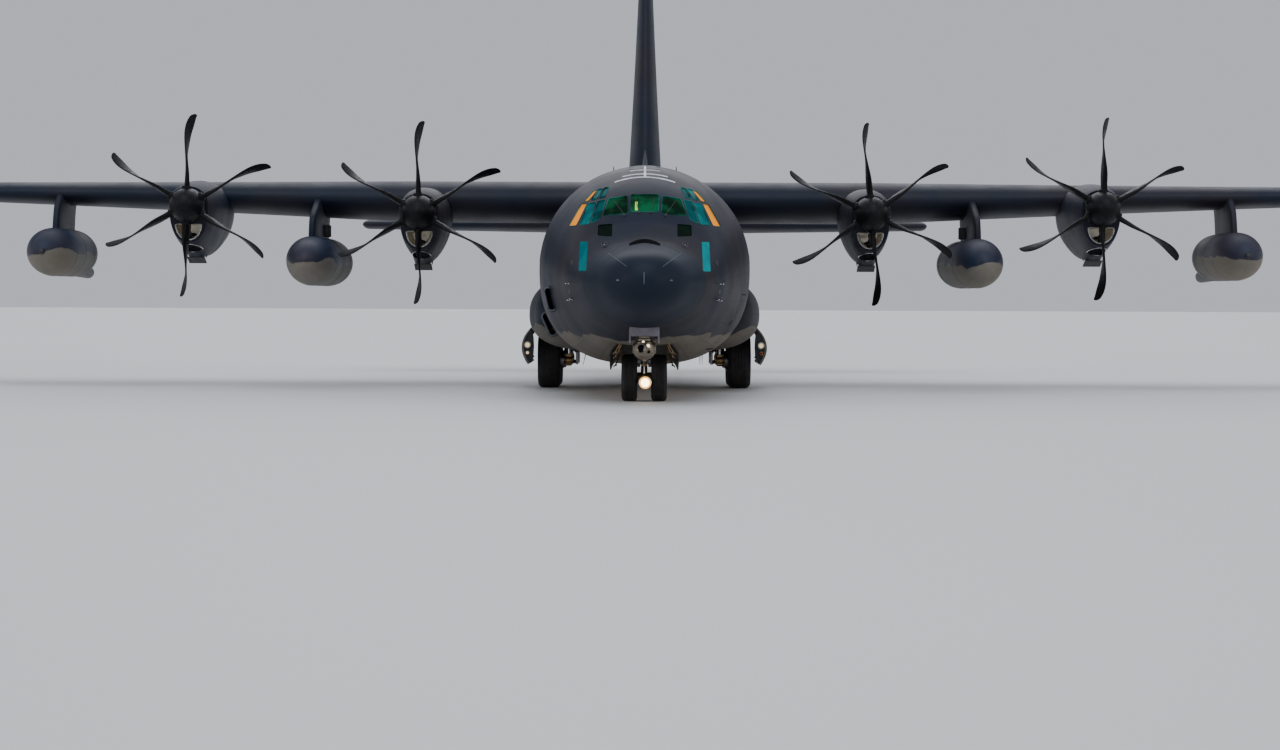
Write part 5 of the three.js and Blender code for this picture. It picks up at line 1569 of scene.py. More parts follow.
def nacelle_details(number, x, z, shape):
    """Bright lips, a liner, the strut in the intake, the cooler's matrix and a probe."""
    mouth = intake_mouth(x, z, (8.93, 9.1, 9.3, 9.5), (0.985, 0.95, 0.86, 0.74))
    piece(f"intake_liner_{number}", cup(mouth, 0.008), "duct", slot="engine_metal")
    lip = intake_mouth(x, z, (8.915,), (1.02,))[0]
    half = lip[lip[:, 2] < z - 0.425]
    slant = cooler_rings(x, z, (9.5,), 1.02)[0]
    slant[:, 1] = shape.station(slant[:, 0], slant[:, 2], NACELLE_FRONT + 0.01, 10.6)
    piece(f"intake_lip_{number}", tube(half[np.argsort(half[:, 0])], 0.013, 10)
          + tube(slant, 0.011, 8, closed=True), "lip", slot="engine_metal")
    strut = [[x, 8.9, z - 0.39], [x, 8.93, z - 0.5], [x, 9.0, z - 0.62], [x, 9.1, z - 0.76]]
    matrix = loft(cooler_rings(x, z, (9.85, 10.13), 1.03))
    bars = joined(box((x - 0.19, 9.82, z - 1.02 + k * 0.028), (x + 0.19, 9.85, z - 1.01 + k * 0.028))
                  for k in range(6))
    piece(f"intake_strut_{number}", tube(strut, [0.05, 0.055, 0.06, 0.065], 16) + matrix + bars, "dark trim")
    piece(f"intake_probe_{number}", rod([x - 0.03, 8.86, z - 0.42], [x - 0.03, 8.99, z - 0.37], 0.018, 12),
          "chrome")


def nacelle_exhaust(number, x, z):
    path = np.linspace([x, 13.1, z - 0.215], [x, 14.16, z - 0.27], 8)
    radius = 0.19 + 0.006 * np.array([0, 0, 0, 0, 0, 0, 0, 1])
    piece(f"exhaust_{number}", pipe(path, radius, 0.02), "exhaust", slot="engine_metal")
    flap = prism([(10.0, z - 1.16), (OUTLET_END, z - 1.285), (OUTLET_END, z - 1.265), (10.0, z - 1.14)], "x",
                 x - 0.2, x + 0.2)
    piece(f"cooler_flap_{number}", flap, "dark trim")


class PLANE_OT_nacelles(bpy.types.Operator):
    """Builds the four nacelles with their intakes, oil coolers and exhausts"""

    bl_idname = "plane.nacelles"
    bl_label = "Nacelles"

    def execute(self, context):
        for number in PROP_TURNS:
            x, _, z = PIVOTS[f"propeller_spin_{number}"]
            build_nacelle(number, x, z)
        return {"FINISHED"}


def blade_shape():
    """One blade: a foil of the table's chord and thickness at each radius, its chord turned by the pitch,
    and its middle moved back for the sweep."""
    tip_length = PROP_RADIUS - BLADE_TIP
    tip_radius = BLADE_TIP + tip_length * np.linspace(0.2, 1, 7)
    radius = np.concatenate([np.linspace(0.3, BLADE_TIP, 30), tip_radius])
    chord, thick, pitch, back = (smooth(BLADE[:, 0], BLADE[:, k], radius)[:, None] for k in range(1, 5))
    tip = np.clip((radius[:, None] - BLADE_TIP) / tip_length, 0, 1)
    chord = np.where(tip > 0, 0.25 * np.sqrt(1 - tip**2 * 0.96), chord)
    u, side = foil_stops(18)
    along = (0.5 - u) * chord - back
    up = side * foil_half(u, 1.0) * thick
    turn = np.radians(pitch)
    x = -(along * np.cos(turn) + up * np.sin(turn))
    y = -along * np.sin(turn) + up * np.cos(turn) + PROP_PLANE
    return loft(columns(x, y, radius[:, None]))


class PLANE_OT_propellers(bpy.types.Operator):
    """Builds the four propellers: six swept blades, their cuffs and the spinner"""

    bl_idname = "plane.propellers"
    bl_label = "Propellers"

    def execute(self, context):
        blade = blade_shape()
        cuff = revolved([(0, 0.3), (0.105, 0.3), (0.115, 0.36), (0.1, 0.43), (0, 0.44)], (0, PROP_PLANE, 0),
                        "z", 28)
        share = np.linspace(0, 1, 22)
        tip = PROP_PLANE - 0.62
        nose = columns(SPINNER_RADIUS * np.sqrt(1 - (1 - share) ** 2), tip + 0.7 * share)
        end = NACELLE_FRONT - GAP
        profile = [*nose, (SPINNER_RADIUS, end - 0.08), (SPINNER_RADIUS - 0.006, end - 0.075),
                   (SPINNER_RADIUS - 0.006, end - 0.068), (SPINNER_RADIUS, end - 0.063),
                   (SPINNER_RADIUS, end), (SHAFT_RADIUS, end), (SHAFT_RADIUS, end + GAP), (0, end + GAP)]
        spinner = revolved(profile, (0, 0, 0), "y", 72)
        six = joined((blade + cuff).turned(60 * k, "Y") for k in range(6))
        for number, turn in PROP_TURNS.items():
            x, _, z = PIVOTS[f"propeller_spin_{number}"]
            body = f"propeller_{number}"
            piece(f"blades_{number}", six.turned(-turn, "Y").at(x, 0, z), "blade", body, crease=50,
                  slot="propeller_black", replaces=[body])
            piece(f"spinner_{number}", spinner.turned(-turn, "Y").at(x, 0, z), "spinner", body,
                  slot="propeller_black")
        return {"FINISHED"}


# Stores under the wings

# Name, distance out, height, radius, nose, front and back shoulders, tail
STORES = [
    ("fuel_tank", 7.65, 2.97, 0.57, 8.55, 10.3, 13.4, 16.3),
    ("refuelling_pod", 13.73, 3.16, 0.56, 9.5, 10.9, 13.0, 14.8),
]
# Side views of the pylons: heights, then the front and back edge at each
PYLONS = {
    "fuel_tank": ([3.3, 3.9, 4.45], [9.95, 10.15, 11.36], [13.6, 13.9, 14.1]),
    "refuelling_pod": ([3.48, 4.2, 4.545], [10.95, 11.2, 11.62], [13.3, 13.5, 13.75]),
}


def store_profile(radius, nose, front, back, tail):
    """An elliptical nose, a straight middle and a tail that narrows with the power 2.3 of the way along
    it."""
    share = np.linspace(0, 1, 24)
    head = columns(radius * np.sqrt(1 - (1 - share) ** 2), nose + (front - nose) * share)
    rear = columns(radius * (1 - share**2.3 * 0.96), back + (tail - back) * share)
    return np.vstack([head, rear, [(0, tail)]])


def store_pylon(x, heights, fronts, backs):
    """Level sections of a pylon: a blunt foil between its front and back edge at each height."""
    zs = np.linspace(heights[0], heights[-1], 24)
    front, back = (smooth(np.array(heights), np.array(v), zs)[:, None] for v in (fronts, backs))
    u, side = foil_stops(26)
    half = 0.11 * np.maximum(foil_half(u, 1.0) * 2, 0) ** 0.55
    y = front + (back - front) * u
    return loft(columns(x + side * half, y, zs[:, None]))


def tank_details(x, z):
    """The bracket on the pylon and the filler cap."""
    bracket = eased_box((x - 0.25, 11.9, 3.55), (x - 0.05, 12.02, 3.83), 0.012)
    cap = revolved([(0, 0.55), (0.09, 0.55), (0.09, 0.574), (0.07, 0.58), (0, 0.58)], (x + 0.02, 11.0, z),
                   "z", 32)
    pair("tank_fittings", bracket + cap, "dark trim")


def pod_details(x, z):
    """The drogue's tunnel and basket at the back, and the small turbine on the nose."""
    tunnel = pipe(np.linspace([x, 13.4, z - 0.4], [x, 15.1, z - 0.44], 6), 0.15, 0.012, 40)
    pair("drogue_tunnel", tunnel, "dark trim")
    basket = joined(rod([x, 14.75, z - 0.43], [x + 0.13 * math.cos(a), 15.08, z - 0.44 + 0.13 * math.sin(a)],
                        0.006, 6) for a in np.linspace(0, 2 * math.pi, 24, endpoint=False))
    nozzle = rod([x, 14.4, z - 0.43], [x, 14.8, z - 0.435], 0.04, 20)
    pair("drogue", basket + nozzle, "steel")
    hub = revolved([(0, 9.43), (0.05, 9.45), (0.075, 9.5), (0.08, 9.56), (0, 9.6)], (x, 0, z), "y", 28)
    pair("pod_turbine", hub, "dark trim")


class PLANE_OT_stores(bpy.types.Operator):
    """Builds the fuel tanks, the refuelling pods and their pylons"""

    bl_idname = "plane.stores"
    bl_label = "Tanks and pods"

    def execute(self, context):
        for kind, x, z, radius, nose, front, back, tail in STORES:
            body = revolved(store_profile(radius, nose, front, back, tail), (x, 0, z), "y", 80)
            pylon = store_pylon(x, *PYLONS[kind])
            bands = joined(pipe(np.array([[x, y, z], [x, y + 0.015, z]]), radius + 0.003, 0.01, 80)
                           for y in (front - 0.02, (front + back) / 2, back))
            for name, side in SIDES:
                middle = x * side
                # The stores' paint is a lighter copy of the airframe's: painted sheen.
                piece(f"{kind}_skin_{name}", body.on_side(side), "store",
                      skin=body_map(middle, z, radius, -0.02), slot="lower_paint",
                      replaces=[f"{kind}_{name}"])
            pair(f"{kind}_pylon_skin", pylon, "small panels", f"{kind}_pylon", skin=plain_map(1, 2),
                 slot="upper_paint")
            pair(f"{kind}_bands", bands, "seal")
        tank_details(*STORES[0][1:3])
        pod_details(*STORES[1][1:3])
        return {"FINISHED"}


# Wheel fairings

FAIRING_CENTRE = 1.3
# Sections of a wheel fairing, with the columns of a Body whose middle lies at FAIRING_CENTRE
FAIRING = [
    [9.0, 0.6, 2.1, 1.85, 1.6, 2.3, 2.4],
    [9.25, 0.95, 2.36, 1.82, 1.25, 2.3, 2.4],
    [9.8, 1.2, 2.58, 1.8, 1.05, 2.3, 2.4],
    [10.7, 1.36, 2.68, 1.76, 0.94, 2.3, 2.4],
    [11.8, 1.4, 2.7, 1.75, 0.92, 2.3, 2.4],
    [15.2, 1.4, 2.7, 1.75, 0.92, 2.3, 2.4],
    [16.1, 1.2, 2.5, 1.78, 1.08, 2.3, 2.4],
    [16.9, 0.76, 2.2, 1.8, 1.4, 2.3, 2.4],
]
FAIRING_EDGE = 1.4  # height of the paint's lower edge on the fairings
# Air scoops on the right: name, top and bottom of the slot in x and z, half width, stations from the mouth
SCOOPS = [
    ("cabin_scoop", (2.03, 2.28), (1.95, 1.96), 0.064, (4.52, 4.6, 5.2, 5.9)),
    ("hold_scoop", (2.22, 1.72), (2.07, 1.38), 0.072, (9.04, 9.12, 9.5, 9.95)),
]


def slot_ring(start, end, half, y):
    """A slot's outline at a station: half circles about its two ends, in x and z."""
    start, end = np.array(start), np.array(end)
    angle = turns(48)
    circle = columns(np.cos(angle), np.sin(angle))
    ends = np.where((circle @ (end - start))[:, None] > 0, end, start)
    points = ends + circle * half
    return columns(points[:, 0], y, points[:, 1])


def well_lining():
    """Plates over the roof, the inner wall and both ends of a well, with ribs on the roof and the
    wall."""
    inner, outer, front, back, roof = (WELL[key] for key in ("inner", "outer", "front", "back", "roof"))
    plates = [((inner, front, roof - 0.015), (outer, back, roof + 0.01)),
              ((inner - 0.01, front, 0), (inner + 0.012, back, roof)),
              ((inner, front - 0.01, 0), (outer, front + 0.012, roof)),
              ((inner, back - 0.012, 0), (outer, back + 0.01, roof))]
    ribs = [((inner, y, roof - 0.07), (outer, y + 0.03, roof))
            for y in np.arange(front + 0.3, back - 0.2, 0.36)]
    posts = [((inner, y, 0), (inner + 0.06, y + 0.03, roof))
             for y in np.arange(front + 0.3, back - 0.2, 0.36)]
    return joined(box(low, high) for low, high in plates + ribs + posts)


def air_scoop(name, top, bottom, half, stations):
    """A housing that tapers back into the skin, its rim, and a liner in its throat whose near-black is
    painted shade.
    """
    mouth = stations[0]
    rings = [slot_ring(top, bottom, half + grow, y) for grow, y in zip((0.036, 0.05, 0.04, -0.02), stations)]
    throat = loft([slot_ring(top, bottom, half, mouth + y) for y in (-0.1, 0.3)])
    housing = make_solid(name, loft(rings).on_side(-1), (throat.on_side(-1), False))
    finished(housing, "small panels", skin=plain_map(1, 2), slot="upper_paint")
    lip = tube(slot_ring(top, bottom, half + 0.018, mouth), 0.018, 10, closed=True)
    piece(f"{name}_lip", lip.on_side(-1), "frame line")
    # The liner's near-black paints the shade deep in the scoop.
    liner = cup([slot_ring(top, bottom, half + 0.003, mouth + y) for y in (0.01, 0.15, 0.29)], 0.006)
    piece(f"{name}_throat", liner.on_side(-1), "throat")


class PLANE_OT_fairings(bpy.types.Operator):
    """Builds the wheel fairings, the linings of the wheel wells and the air scoops on the right"""

    bl_idname = "plane.fairings"
    bl_label = "Wheel fairings"

    def execute(self, context):
        hull = loft(HULL.rings(stations_between(8.0, HOLD_END, 0.2)))
        stations = np.concatenate([9 + 0.8 * np.linspace(0, 1, 14) ** 2, stations_between(9.9, 16.9)])
        well = box((0, WELL["front"], -1), (WELL["outer"], WELL["back"], WELL["roof"]))
        for name, side in SIDES:
            pod = Body(FAIRING, FAIRING_CENTRE * side)
            solid = loft(pod.rings(stations, count=112))
            skin = make_solid(f"fairing_skin_{name}", solid, (hull, False), (well.on_side(side), False))
            edge = FAIRING_EDGE - FAIRING[4][3]
            plan = body_map(FAIRING_CENTRE * side, FAIRING[4][3], 1.2, edge)
            bent(skin, pod, plan, "airframe", [f"wheel_fairing_{name}"])
            lining = carve(bare(f"main_well_lining_{name}", well_lining().on_side(side)), solid, True,
                           crossed=True)
            finished(lining, "well", slot="cabin_lining")
        for name, top, bottom, half, stations in SCOOPS:
            air_scoop(name, top, bottom, half, stations)
        return {"FINISHED"}


# Landing gear

MAIN_TYRE = {"radius": 0.66, "half": 0.27}
NOSE_TYRE = {"radius": 0.49, "half": 0.165}
NOSE_WHEEL_OUT = 0.31
DOOR_LAMP_OUT = 2.755
NOSE_DOOR_OUT = 0.54  # the hinge line of the nose gear doors
STRUT_OUT = 1.8
# The main wheel's rim: radius and distance out, from the bore over the outer face to the flange
RIM = np.array([(0.068, 0.165), (0.105, 0.165), (0.118, 0.14), (0.2, 0.112), (0.262, 0.13), (0.292, 0.185),
                (0.315, 0.236), (0.34, 0.25), (0.352, 0.24)])
BOLT_CIRCLE = 0.232


def mirrored_profile(half):
    """A closed profile from its outer half: the half itself, then its mirror image in reverse."""
    half = np.asarray(half, float)
    return np.vstack([half, half[::-1] * [1, -1]])


def tyre_profile(radius, half):
    """A tread with four grooves, a shoulder that follows a quarter ellipse, and a side that draws in to the
    bead."""
    rim, tread, deep = radius * 0.515, half * 0.5, radius * 0.02
    grooves = [point for middle in (tread * 0.27, tread * 0.76)
               for point in ((radius, middle - 0.011), (radius - deep, middle - 0.007),
                             (radius - deep, middle + 0.007), (radius, middle + 0.011))]
    t = np.linspace(0, 1, 14)
    shoulder = columns(radius * (0.78 + 0.22 * np.cos(t * math.pi / 2) ** 0.8),
                       tread + (half - tread) * np.sin(t * math.pi / 2))
    side = columns(radius * 0.78 + (rim - radius * 0.78) * t[1:], half * (1 - 0.1 * t[1:] ** 2))
    return mirrored_profile(np.vstack([grooves, shoulder, side]))


def wheel_parts(radius, half):
    """A tyre, its bolted rim and a hub cap about the origin, with the axle along x and the outer face
    towards +x."""
    shrink = np.array([radius, half]) / [MAIN_TYRE["radius"], MAIN_TYRE["half"]]
    tyre = revolved(tyre_profile(radius, half), (0, 0, 0), "x", 120, closed=True)
    rim = revolved(mirrored_profile(RIM * shrink), (0, 0, 0), "x", 72, closed=True)
    angle = turns(12)
    circle = columns(0, np.cos(angle), np.sin(angle)) * BOLT_CIRCLE * shrink[0]
    depth = 0.12 * shrink[1]
    bolt = rod([depth - 0.03, 0, 0], [depth + 0.022, 0, 0], 0.014, 6)
    cap = revolved([(0, 0.1), (0.1, 0.1), (0.1, 0.178), (0.085, 0.2), (0.05, 0.212), (0, 0.214)], (0, 0, 0),
                   "x", 40)
    return tyre, rim + bolt.copies(circle) + bolt.on_side(-1).copies(circle), cap


def bow(first, middle, last):
    """A quadratic curve through three points."""
    first, middle, last = (np.array(point, float) for point in (first, middle, last))
    pull = 2 * middle - (first + last) / 2
    t = np.linspace(0, 1, 24)[:, None]
    return first * (1 - t) ** 2 + 2 * pull * t * (1 - t) + last * t**2


def build_main_leg(places):
    chrome, bronze, dark, lines = [], [], [], []
    for x, y, z in np.abs(places):
        out = STRUT_OUT
        chrome.append(rod([out, y, z - 0.05], [out, y, 1.16], 0.075, 32))
        bronze += [revolved([(0, 1.0), (0.118, 1.0), (0.118, 1.06), (0.105, 1.075), (0.105, 1.42),
                             (0.115, 1.43), (0.115, 1.5), (0.105, 1.51), (0.105, 1.745), (0, 1.745)],
                            (out, y, 0), "z", 40),
                   revolved([(0, out - 0.1), (0.09, out - 0.1), (0.115, out - 0.08), (0.125, out),
                             (0.12, out + 0.07), (0.105, out + 0.09), (0.105, x - 0.17), (0, x - 0.17)],
                            (0, y, z), "x", 40),
                   eased_box((out - 0.085, y - 0.09, z - 0.14), (out + 0.085, y + 0.09, z + 0.16), 0.03)]
        dark += [revolved([(0, x - 0.36), (0.17, x - 0.36), (0.195, x - 0.345), (0.2, x - 0.32),
                           (0.2, x - 0.2), (0.19, x - 0.175), (0, x - 0.175)], (0, y, z), "x", 48),
                 rod([out, y, z], [x + 0.19, y, z], 0.06, 24),
                 rod([out - 0.2, y - 0.13, z - 0.1], [out - 0.2, y - 0.13, z + 0.2], 0.034, 16),
                 rod([out - 0.21, y - 0.13, z + 0.17], [out, y - 0.04, z + 0.34], 0.028, 12),
                 rod([out - 0.21, y - 0.13, z - 0.07], [out, y - 0.04, z - 0.02], 0.028, 12)]
        angle = turns(7) + 0.3
        circle = columns(0, np.cos(angle), np.sin(angle)) * 0.145
        piston = revolved([(0, -0.02), (0.028, -0.02), (0.034, -0.01), (0.034, 0.05), (0, 0.05)], (0, 0, 0),
                          "x", 16)
        dark.append(piston.copies(circle + [x - 0.38, y, z]))
        t = np.linspace(0, 1, 14)[:, None]
        for lean in (-0.07, 0.02):
            lines.append(tube(np.array([out + lean, y - 0.12, 1.5]) * (1 - t)
                              + np.array([x - 0.34, y - 0.1, z + 0.12]) * t
                              + [0, -0.1, 0] * np.sin(t * math.pi), 0.011, 8))
    (_, y0, _), (_, y1, _) = places
    bronze.append(rod([STRUT_OUT, y0, 1.35], [STRUT_OUT, y1, 1.35], 0.05, 20))
    for middle in (y0 + 0.35, y1 - 0.35):
        bronze.append(eased_box((STRUT_OUT - 0.075, middle - 0.05, 1.28),
                                (STRUT_OUT + 0.075, middle + 0.05, 1.74), 0.015))
    pair("main_leg", joined(bronze), "bronze", "main_gear_leg", slot="gear_steel")
    pair("main_oleo", joined(chrome), "chrome", slot="gear_steel")
    pair("main_brakes", joined(dark), "steel", slot="gear_steel")
    pair("brake_lines", joined(lines), "dark trim")


def build_main_door():
    """A bowed plate beside the wheels with ribs inside, a bulkhead at its front end and two lamps on
    that."""
    outer = bow((2.64, 1.46), (2.885, 1.03), (2.74, 0.57))
    inner = bow((2.66, 1.4), (2.848, 1.03), (2.712, 0.6))
    front, back = WELL["front"], WELL["back"]
    plate = prism(np.vstack([outer, inner[::-1]]), "y", front, back)
    pair("gear_door_skin", plate, "airframe", "main_gear_door", slot="upper_paint",
         skin=body_map(0, FAIRING_EDGE, 1.2, 0))
    bulkhead = np.vstack([outer[2:-1] * [0.998, 1],
                          [(2.665, 0.66), (2.612, 0.8), (2.6, 1.0), (2.61, 1.2), (2.64, 1.36)]])
    deep = np.vstack([outer[3:-2] * [0.998, 1], (inner - [0.055, 0])[2:-2][::-1]])
    ribs = [prism(bulkhead, "y", front + 0.03, front + 0.045)]
    ribs += [prism(deep, "y", y, y + 0.02) for y in np.arange(front + 0.5, back, 0.37)]
    knuckle = rod([2.735, front + 0.02, 0.63], [2.735, front + 0.14, 0.63], 0.04, 16)
    pair("gear_door_ribs", joined(ribs) + knuckle, "dark trim")
    edge = tube(columns(outer[:, 0], front + 0.01, outer[:, 1]), 0.01, 8)
    pair("gear_door_edge", edge, "gear")
    for label, z, radius in (("upper", 1.03, 0.078), ("lower", 0.845, 0.044)):
        can = revolved([(0, front + 0.05), (radius, front + 0.05), (radius, front - 0.03),
                        (radius - 0.004, front - 0.042), (radius * 0.72, front - 0.045),
                        (radius * 0.6, front - 0.03), (0, front - 0.03)], (DOOR_LAMP_OUT, 0, z), "y", 40)
        lens = revolved([(0, front - 0.04), (radius * 0.3, front - 0.038), (radius * 0.58, front - 0.031),
                         (radius * 0.58, front - 0.02), (0, front - 0.02)], (DOOR_LAMP_OUT, 0, z), "y", 32)
        for name, side in SIDES:
            lit = label == "upper" or side < 0
            piece(f"door_lamp_{label}_{name}", can.on_side(side), "lamp ring" if lit else "bronze")
            piece(f"door_lens_{label}_{name}", lens.on_side(side), "amber lens" if lit else "red lens")


class PLANE_OT_main_gear(bpy.types.Operator):
    """Builds the main legs, their brakes and links, the four wheels and the open doors with lamps"""

    bl_idname = "plane.main_gear"
    bl_label = "Main gear"

    def execute(self, context):
        tyre, rim, cap = wheel_parts(**MAIN_TYRE)
        for name, side in SIDES:
            places = [PIVOTS[f"main_wheel_roll_{place}_{name}"] for place in ("front", "rear")]
            for place, (x, y, z) in zip(("front", "rear"), places):
                node = f"main_wheel_{place}_{name}"
                piece(f"{node}_tyre", tyre.at(x, y, z), "tyre", node, replaces=[node], slot="tyre_rubber")
                piece(f"{node}_rim", (rim + cap).on_side(side).at(x, y, z), "rim", node, slot="gear_steel")
        build_main_leg(places)
        build_main_door()
        return {"FINISHED"}


def build_nose_wheels(y, z):
    tyre, rim, _ = wheel_parts(**NOSE_TYRE)
    tyres = joined(tyre.at(NOSE_WHEEL_OUT * side, y, z) for _, side in SIDES)
    piece("nose_tyres", tyres, "tyre", "nose_wheels", replaces=["nose_wheels"], slot="tyre_rubber")
    hub = revolved([(0, 0.08), (0.075, 0.08), (0.075, 0.105), (0.06, 0.125), (0, 0.13)], (0, 0, 0), "x", 32)
    rims = joined((rim + hub).at(NOSE_WHEEL_OUT).on_side(side).at(0, y, z) for _, side in SIDES)
    axle = rod([-NOSE_WHEEL_OUT, y, z], [NOSE_WHEEL_OUT, y, z], 0.06)
    piece("nose_rims", rims + axle, "rim", "nose_wheels", slot="gear_steel")


def build_nose_fork(y, z):
    piston = rod([0, y, z], [0, y, 1.019], 0.07, 32)
    hub = 0.205
    lug = revolved([(0.068, -hub), (0.1, -hub), (0.112, -hub + 0.02), (0.112, hub - 0.02), (0.1, hub),
                    (0.068, hub)], (0, y, z), "x", 40, closed=True)
    collar = revolved([(0, 0.9), (0.1, 0.9), (0.108, 0.915), (0.108, 0.965), (0.1, 0.98), (0, 0.98)],
                      (0, y, 0), "z", 40)
    links = joined(tube([[k, y - 0.08, 0.93], [k, y - 0.24, 0.76], [k, y - 0.09, 0.6]], 0.022, 10)
                   for k in (-0.045, 0.045))
    knee = rod([-0.065, y - 0.24, 0.76], [0.065, y - 0.24, 0.76], 0.03, 16)
    piece("nose_piston", piston, "chrome", "nose_gear_fork", slot="gear_steel")
    piece("nose_fork", lug + collar + links + knee, "bronze", "nose_gear_fork", slot="gear_steel",
          replaces=["nose_gear_fork"])
    jacks = joined(rod([k, y - 0.1, 0.74], [k, y + 0.1, 0.84], 0.036, 20) for k in (-0.115, 0.115))
    jacks += joined(eased_box((k - 0.045, y - 0.14, 0.78), (k + 0.045, y - 0.05, 0.87), 0.012)
                    for k in (-0.105, 0.105))
    piece("nose_steering_jacks", jacks, "gear", "nose_gear_fork", slot="gear_steel")
    nose_lamp("taxi_lamp", (0.02, 3.35, 0.4), 0.135, y)
    nose_lamp("landing_lamp", (0, y - 0.2, 0.86), 0.06, y)


def nose_lamp(name, middle, radius, y):
    """A dished can with its lens in front and an arm back to the leg."""
    x, front, z = middle
    profile = [(0, 0.13), (0.5, 0.12), (0.85, 0.09), (1.0, 0.04), (1.0, 0.0), (0.93, -0.005), (0.9, 0.02),
               (0, 0.02)]
    can = revolved([(r * radius, front + d) for r, d in profile], (x, 0, z), "y", 48)
    arm = tube([[x, front + 0.1, z], [0, y - 0.2, z + 0.06], [0, y - 0.07, z + 0.1]], 0.022, 12)
    piece(f"{name}_can", can + arm, "steel", "nose_gear_fork", slot="gear_steel")
    lit = radius > 0.1
    edge = 0.66 if lit else 0.91
    lens = revolved([(0, -0.02), (edge * 0.5, -0.017), (edge * 0.8, -0.01), (edge, 0.004), (edge, 0.016),
                     (0, 0.016)], (0, 0, 0), "y", 40)
    lens = Shape(lens.points * [radius, 1, radius] + [x, front, z], lens.faces)
    piece(f"{name}_lens", lens, "taxi lens" if lit else "clear lens", "nose_gear_fork")
    if lit:
        ring = revolved([(edge, 0.0), (0.92, -0.003), (0.92, 0.016), (edge, 0.016)], (0, 0, 0), "y", 40,
                        closed=True)
        ring = Shape(ring.points * [radius, 1, radius] + [x, front, z], ring.faces)
        piece(f"{name}_reflector", ring, "reflector", "nose_gear_fork")


def build_nose_leg(y):
    leg = revolved([(0, 1.021), (0.13, 1.021), (0.13, 1.09), (0.118, 1.11), (0.118, 1.3), (0.13, 1.32),
                    (0.13, 1.4), (0.118, 1.42), (0.118, 1.775), (0, 1.775)], (0, y, 0), "z", 44)
    brace = rod([0, y, 1.2], [0, y + 0.6, 1.76], 0.05, 20)
    trunnion = rod([-0.42, y, 1.62], [0.42, y, 1.62], 0.07, 24)
    pipes = joined(tube([[k, y - 0.12, 1.7], [k, y - 0.14, 1.4], [k * 0.8, y - 0.14, 1.1],
                         [k * 0.7, y - 0.12, 1.04]], 0.012, 8) for k in (-0.06, 0.03, 0.07))
    piece("nose_leg", leg + brace + trunnion, "bronze", slot="gear_steel", replaces=["nose_gear_leg"])
    piece("nose_leg_pipes", pipes, "dark trim")
    half, front, back, roof = (NOSE_WELL[key] for key in ("half", "front", "back", "roof"))
    plates = [((-half, front, roof - 0.005), (half, back, roof + 0.02)),
              ((-half, front - 0.02, 0), (half, front + 0.004, roof)),
              ((-half, back - 0.004, 0), (half, back + 0.02, roof))]
    plates += [((k - 0.012, front, 0), (k + 0.012, back, roof)) for k in (-half, half)]
    plates += [((-half, s, roof - 0.06), (half, s + 0.025, roof)) for s in np.arange(front + 0.2, back, 0.3)]
    nose = loft(HULL.rings(stations_between(2.6, 5.2, 0.1), 0.006))
    plates = joined(box(low, high) for low, high in plates)
    lining = carve(bare("nose_well_lining", plates), nose, True, crossed=True)
    finished(lining, "well", slot="cabin_lining")


def build_nose_doors():
    """Doors that lean out from the well's lower edges, with hinge arms and hinge blocks."""
    front, back = NOSE_WELL["front"] + 0.04, NOSE_WELL["back"] - 0.04
    ys = np.linspace(front, back, 20)
    top = HULL.belly(np.full(20, NOSE_DOOR_OUT), ys)
    rows = [columns(NOSE_DOOR_OUT + 0.17 * t + 0.03 * math.sin(t * math.pi), ys, top - 0.24 * t + 0.01)
            for t in np.linspace(0, 1, 8)]
    outside = np.array(rows)
    plate = slab(outside + [0.012, 0, 0], outside - [0.012, 0, 0])
    arms, blocks = [], []
    for y in (front + 0.12, front + 0.45, front + 1.0, back - 0.12):
        z = float(HULL.belly(np.array(NOSE_DOOR_OUT), np.array(y)))
        arms.append(tube([[0.47, y, z + 0.1], [0.53, y, z - 0.02], [0.58, y, z - 0.1], [0.65, y, z - 0.19]],
                         0.014, 10))
        blocks.append(eased_box((0.575, y - 0.04, z - 0.17), (0.615, y + 0.04, z - 0.11), 0.012))
    pair("nose_door", plate, "dark trim", slot="lower_paint")
    pair("nose_door_arms", joined(arms), "bronze", slot="gear_steel")
    pair("nose_door_hinges", joined(blocks), "gear", slot="gear_steel")


class PLANE_OT_nose_gear(bpy.types.Operator):
    """Builds the nose leg, the steered fork with its lamps, the twin wheels, the doors and the well"""

    bl_idname = "plane.nose_gear"
    bl_label = "Nose gear"

    def execute(self, context):
        _, y, z = PIVOTS["nose_wheel_roll"]
        build_nose_wheels(y, z)
        build_nose_fork(y, z)
        build_nose_leg(y)
        build_nose_doors()
        return {"FINISHED"}


BALL_HEIGHT, BALL_RADIUS = 1.13, 0.2345


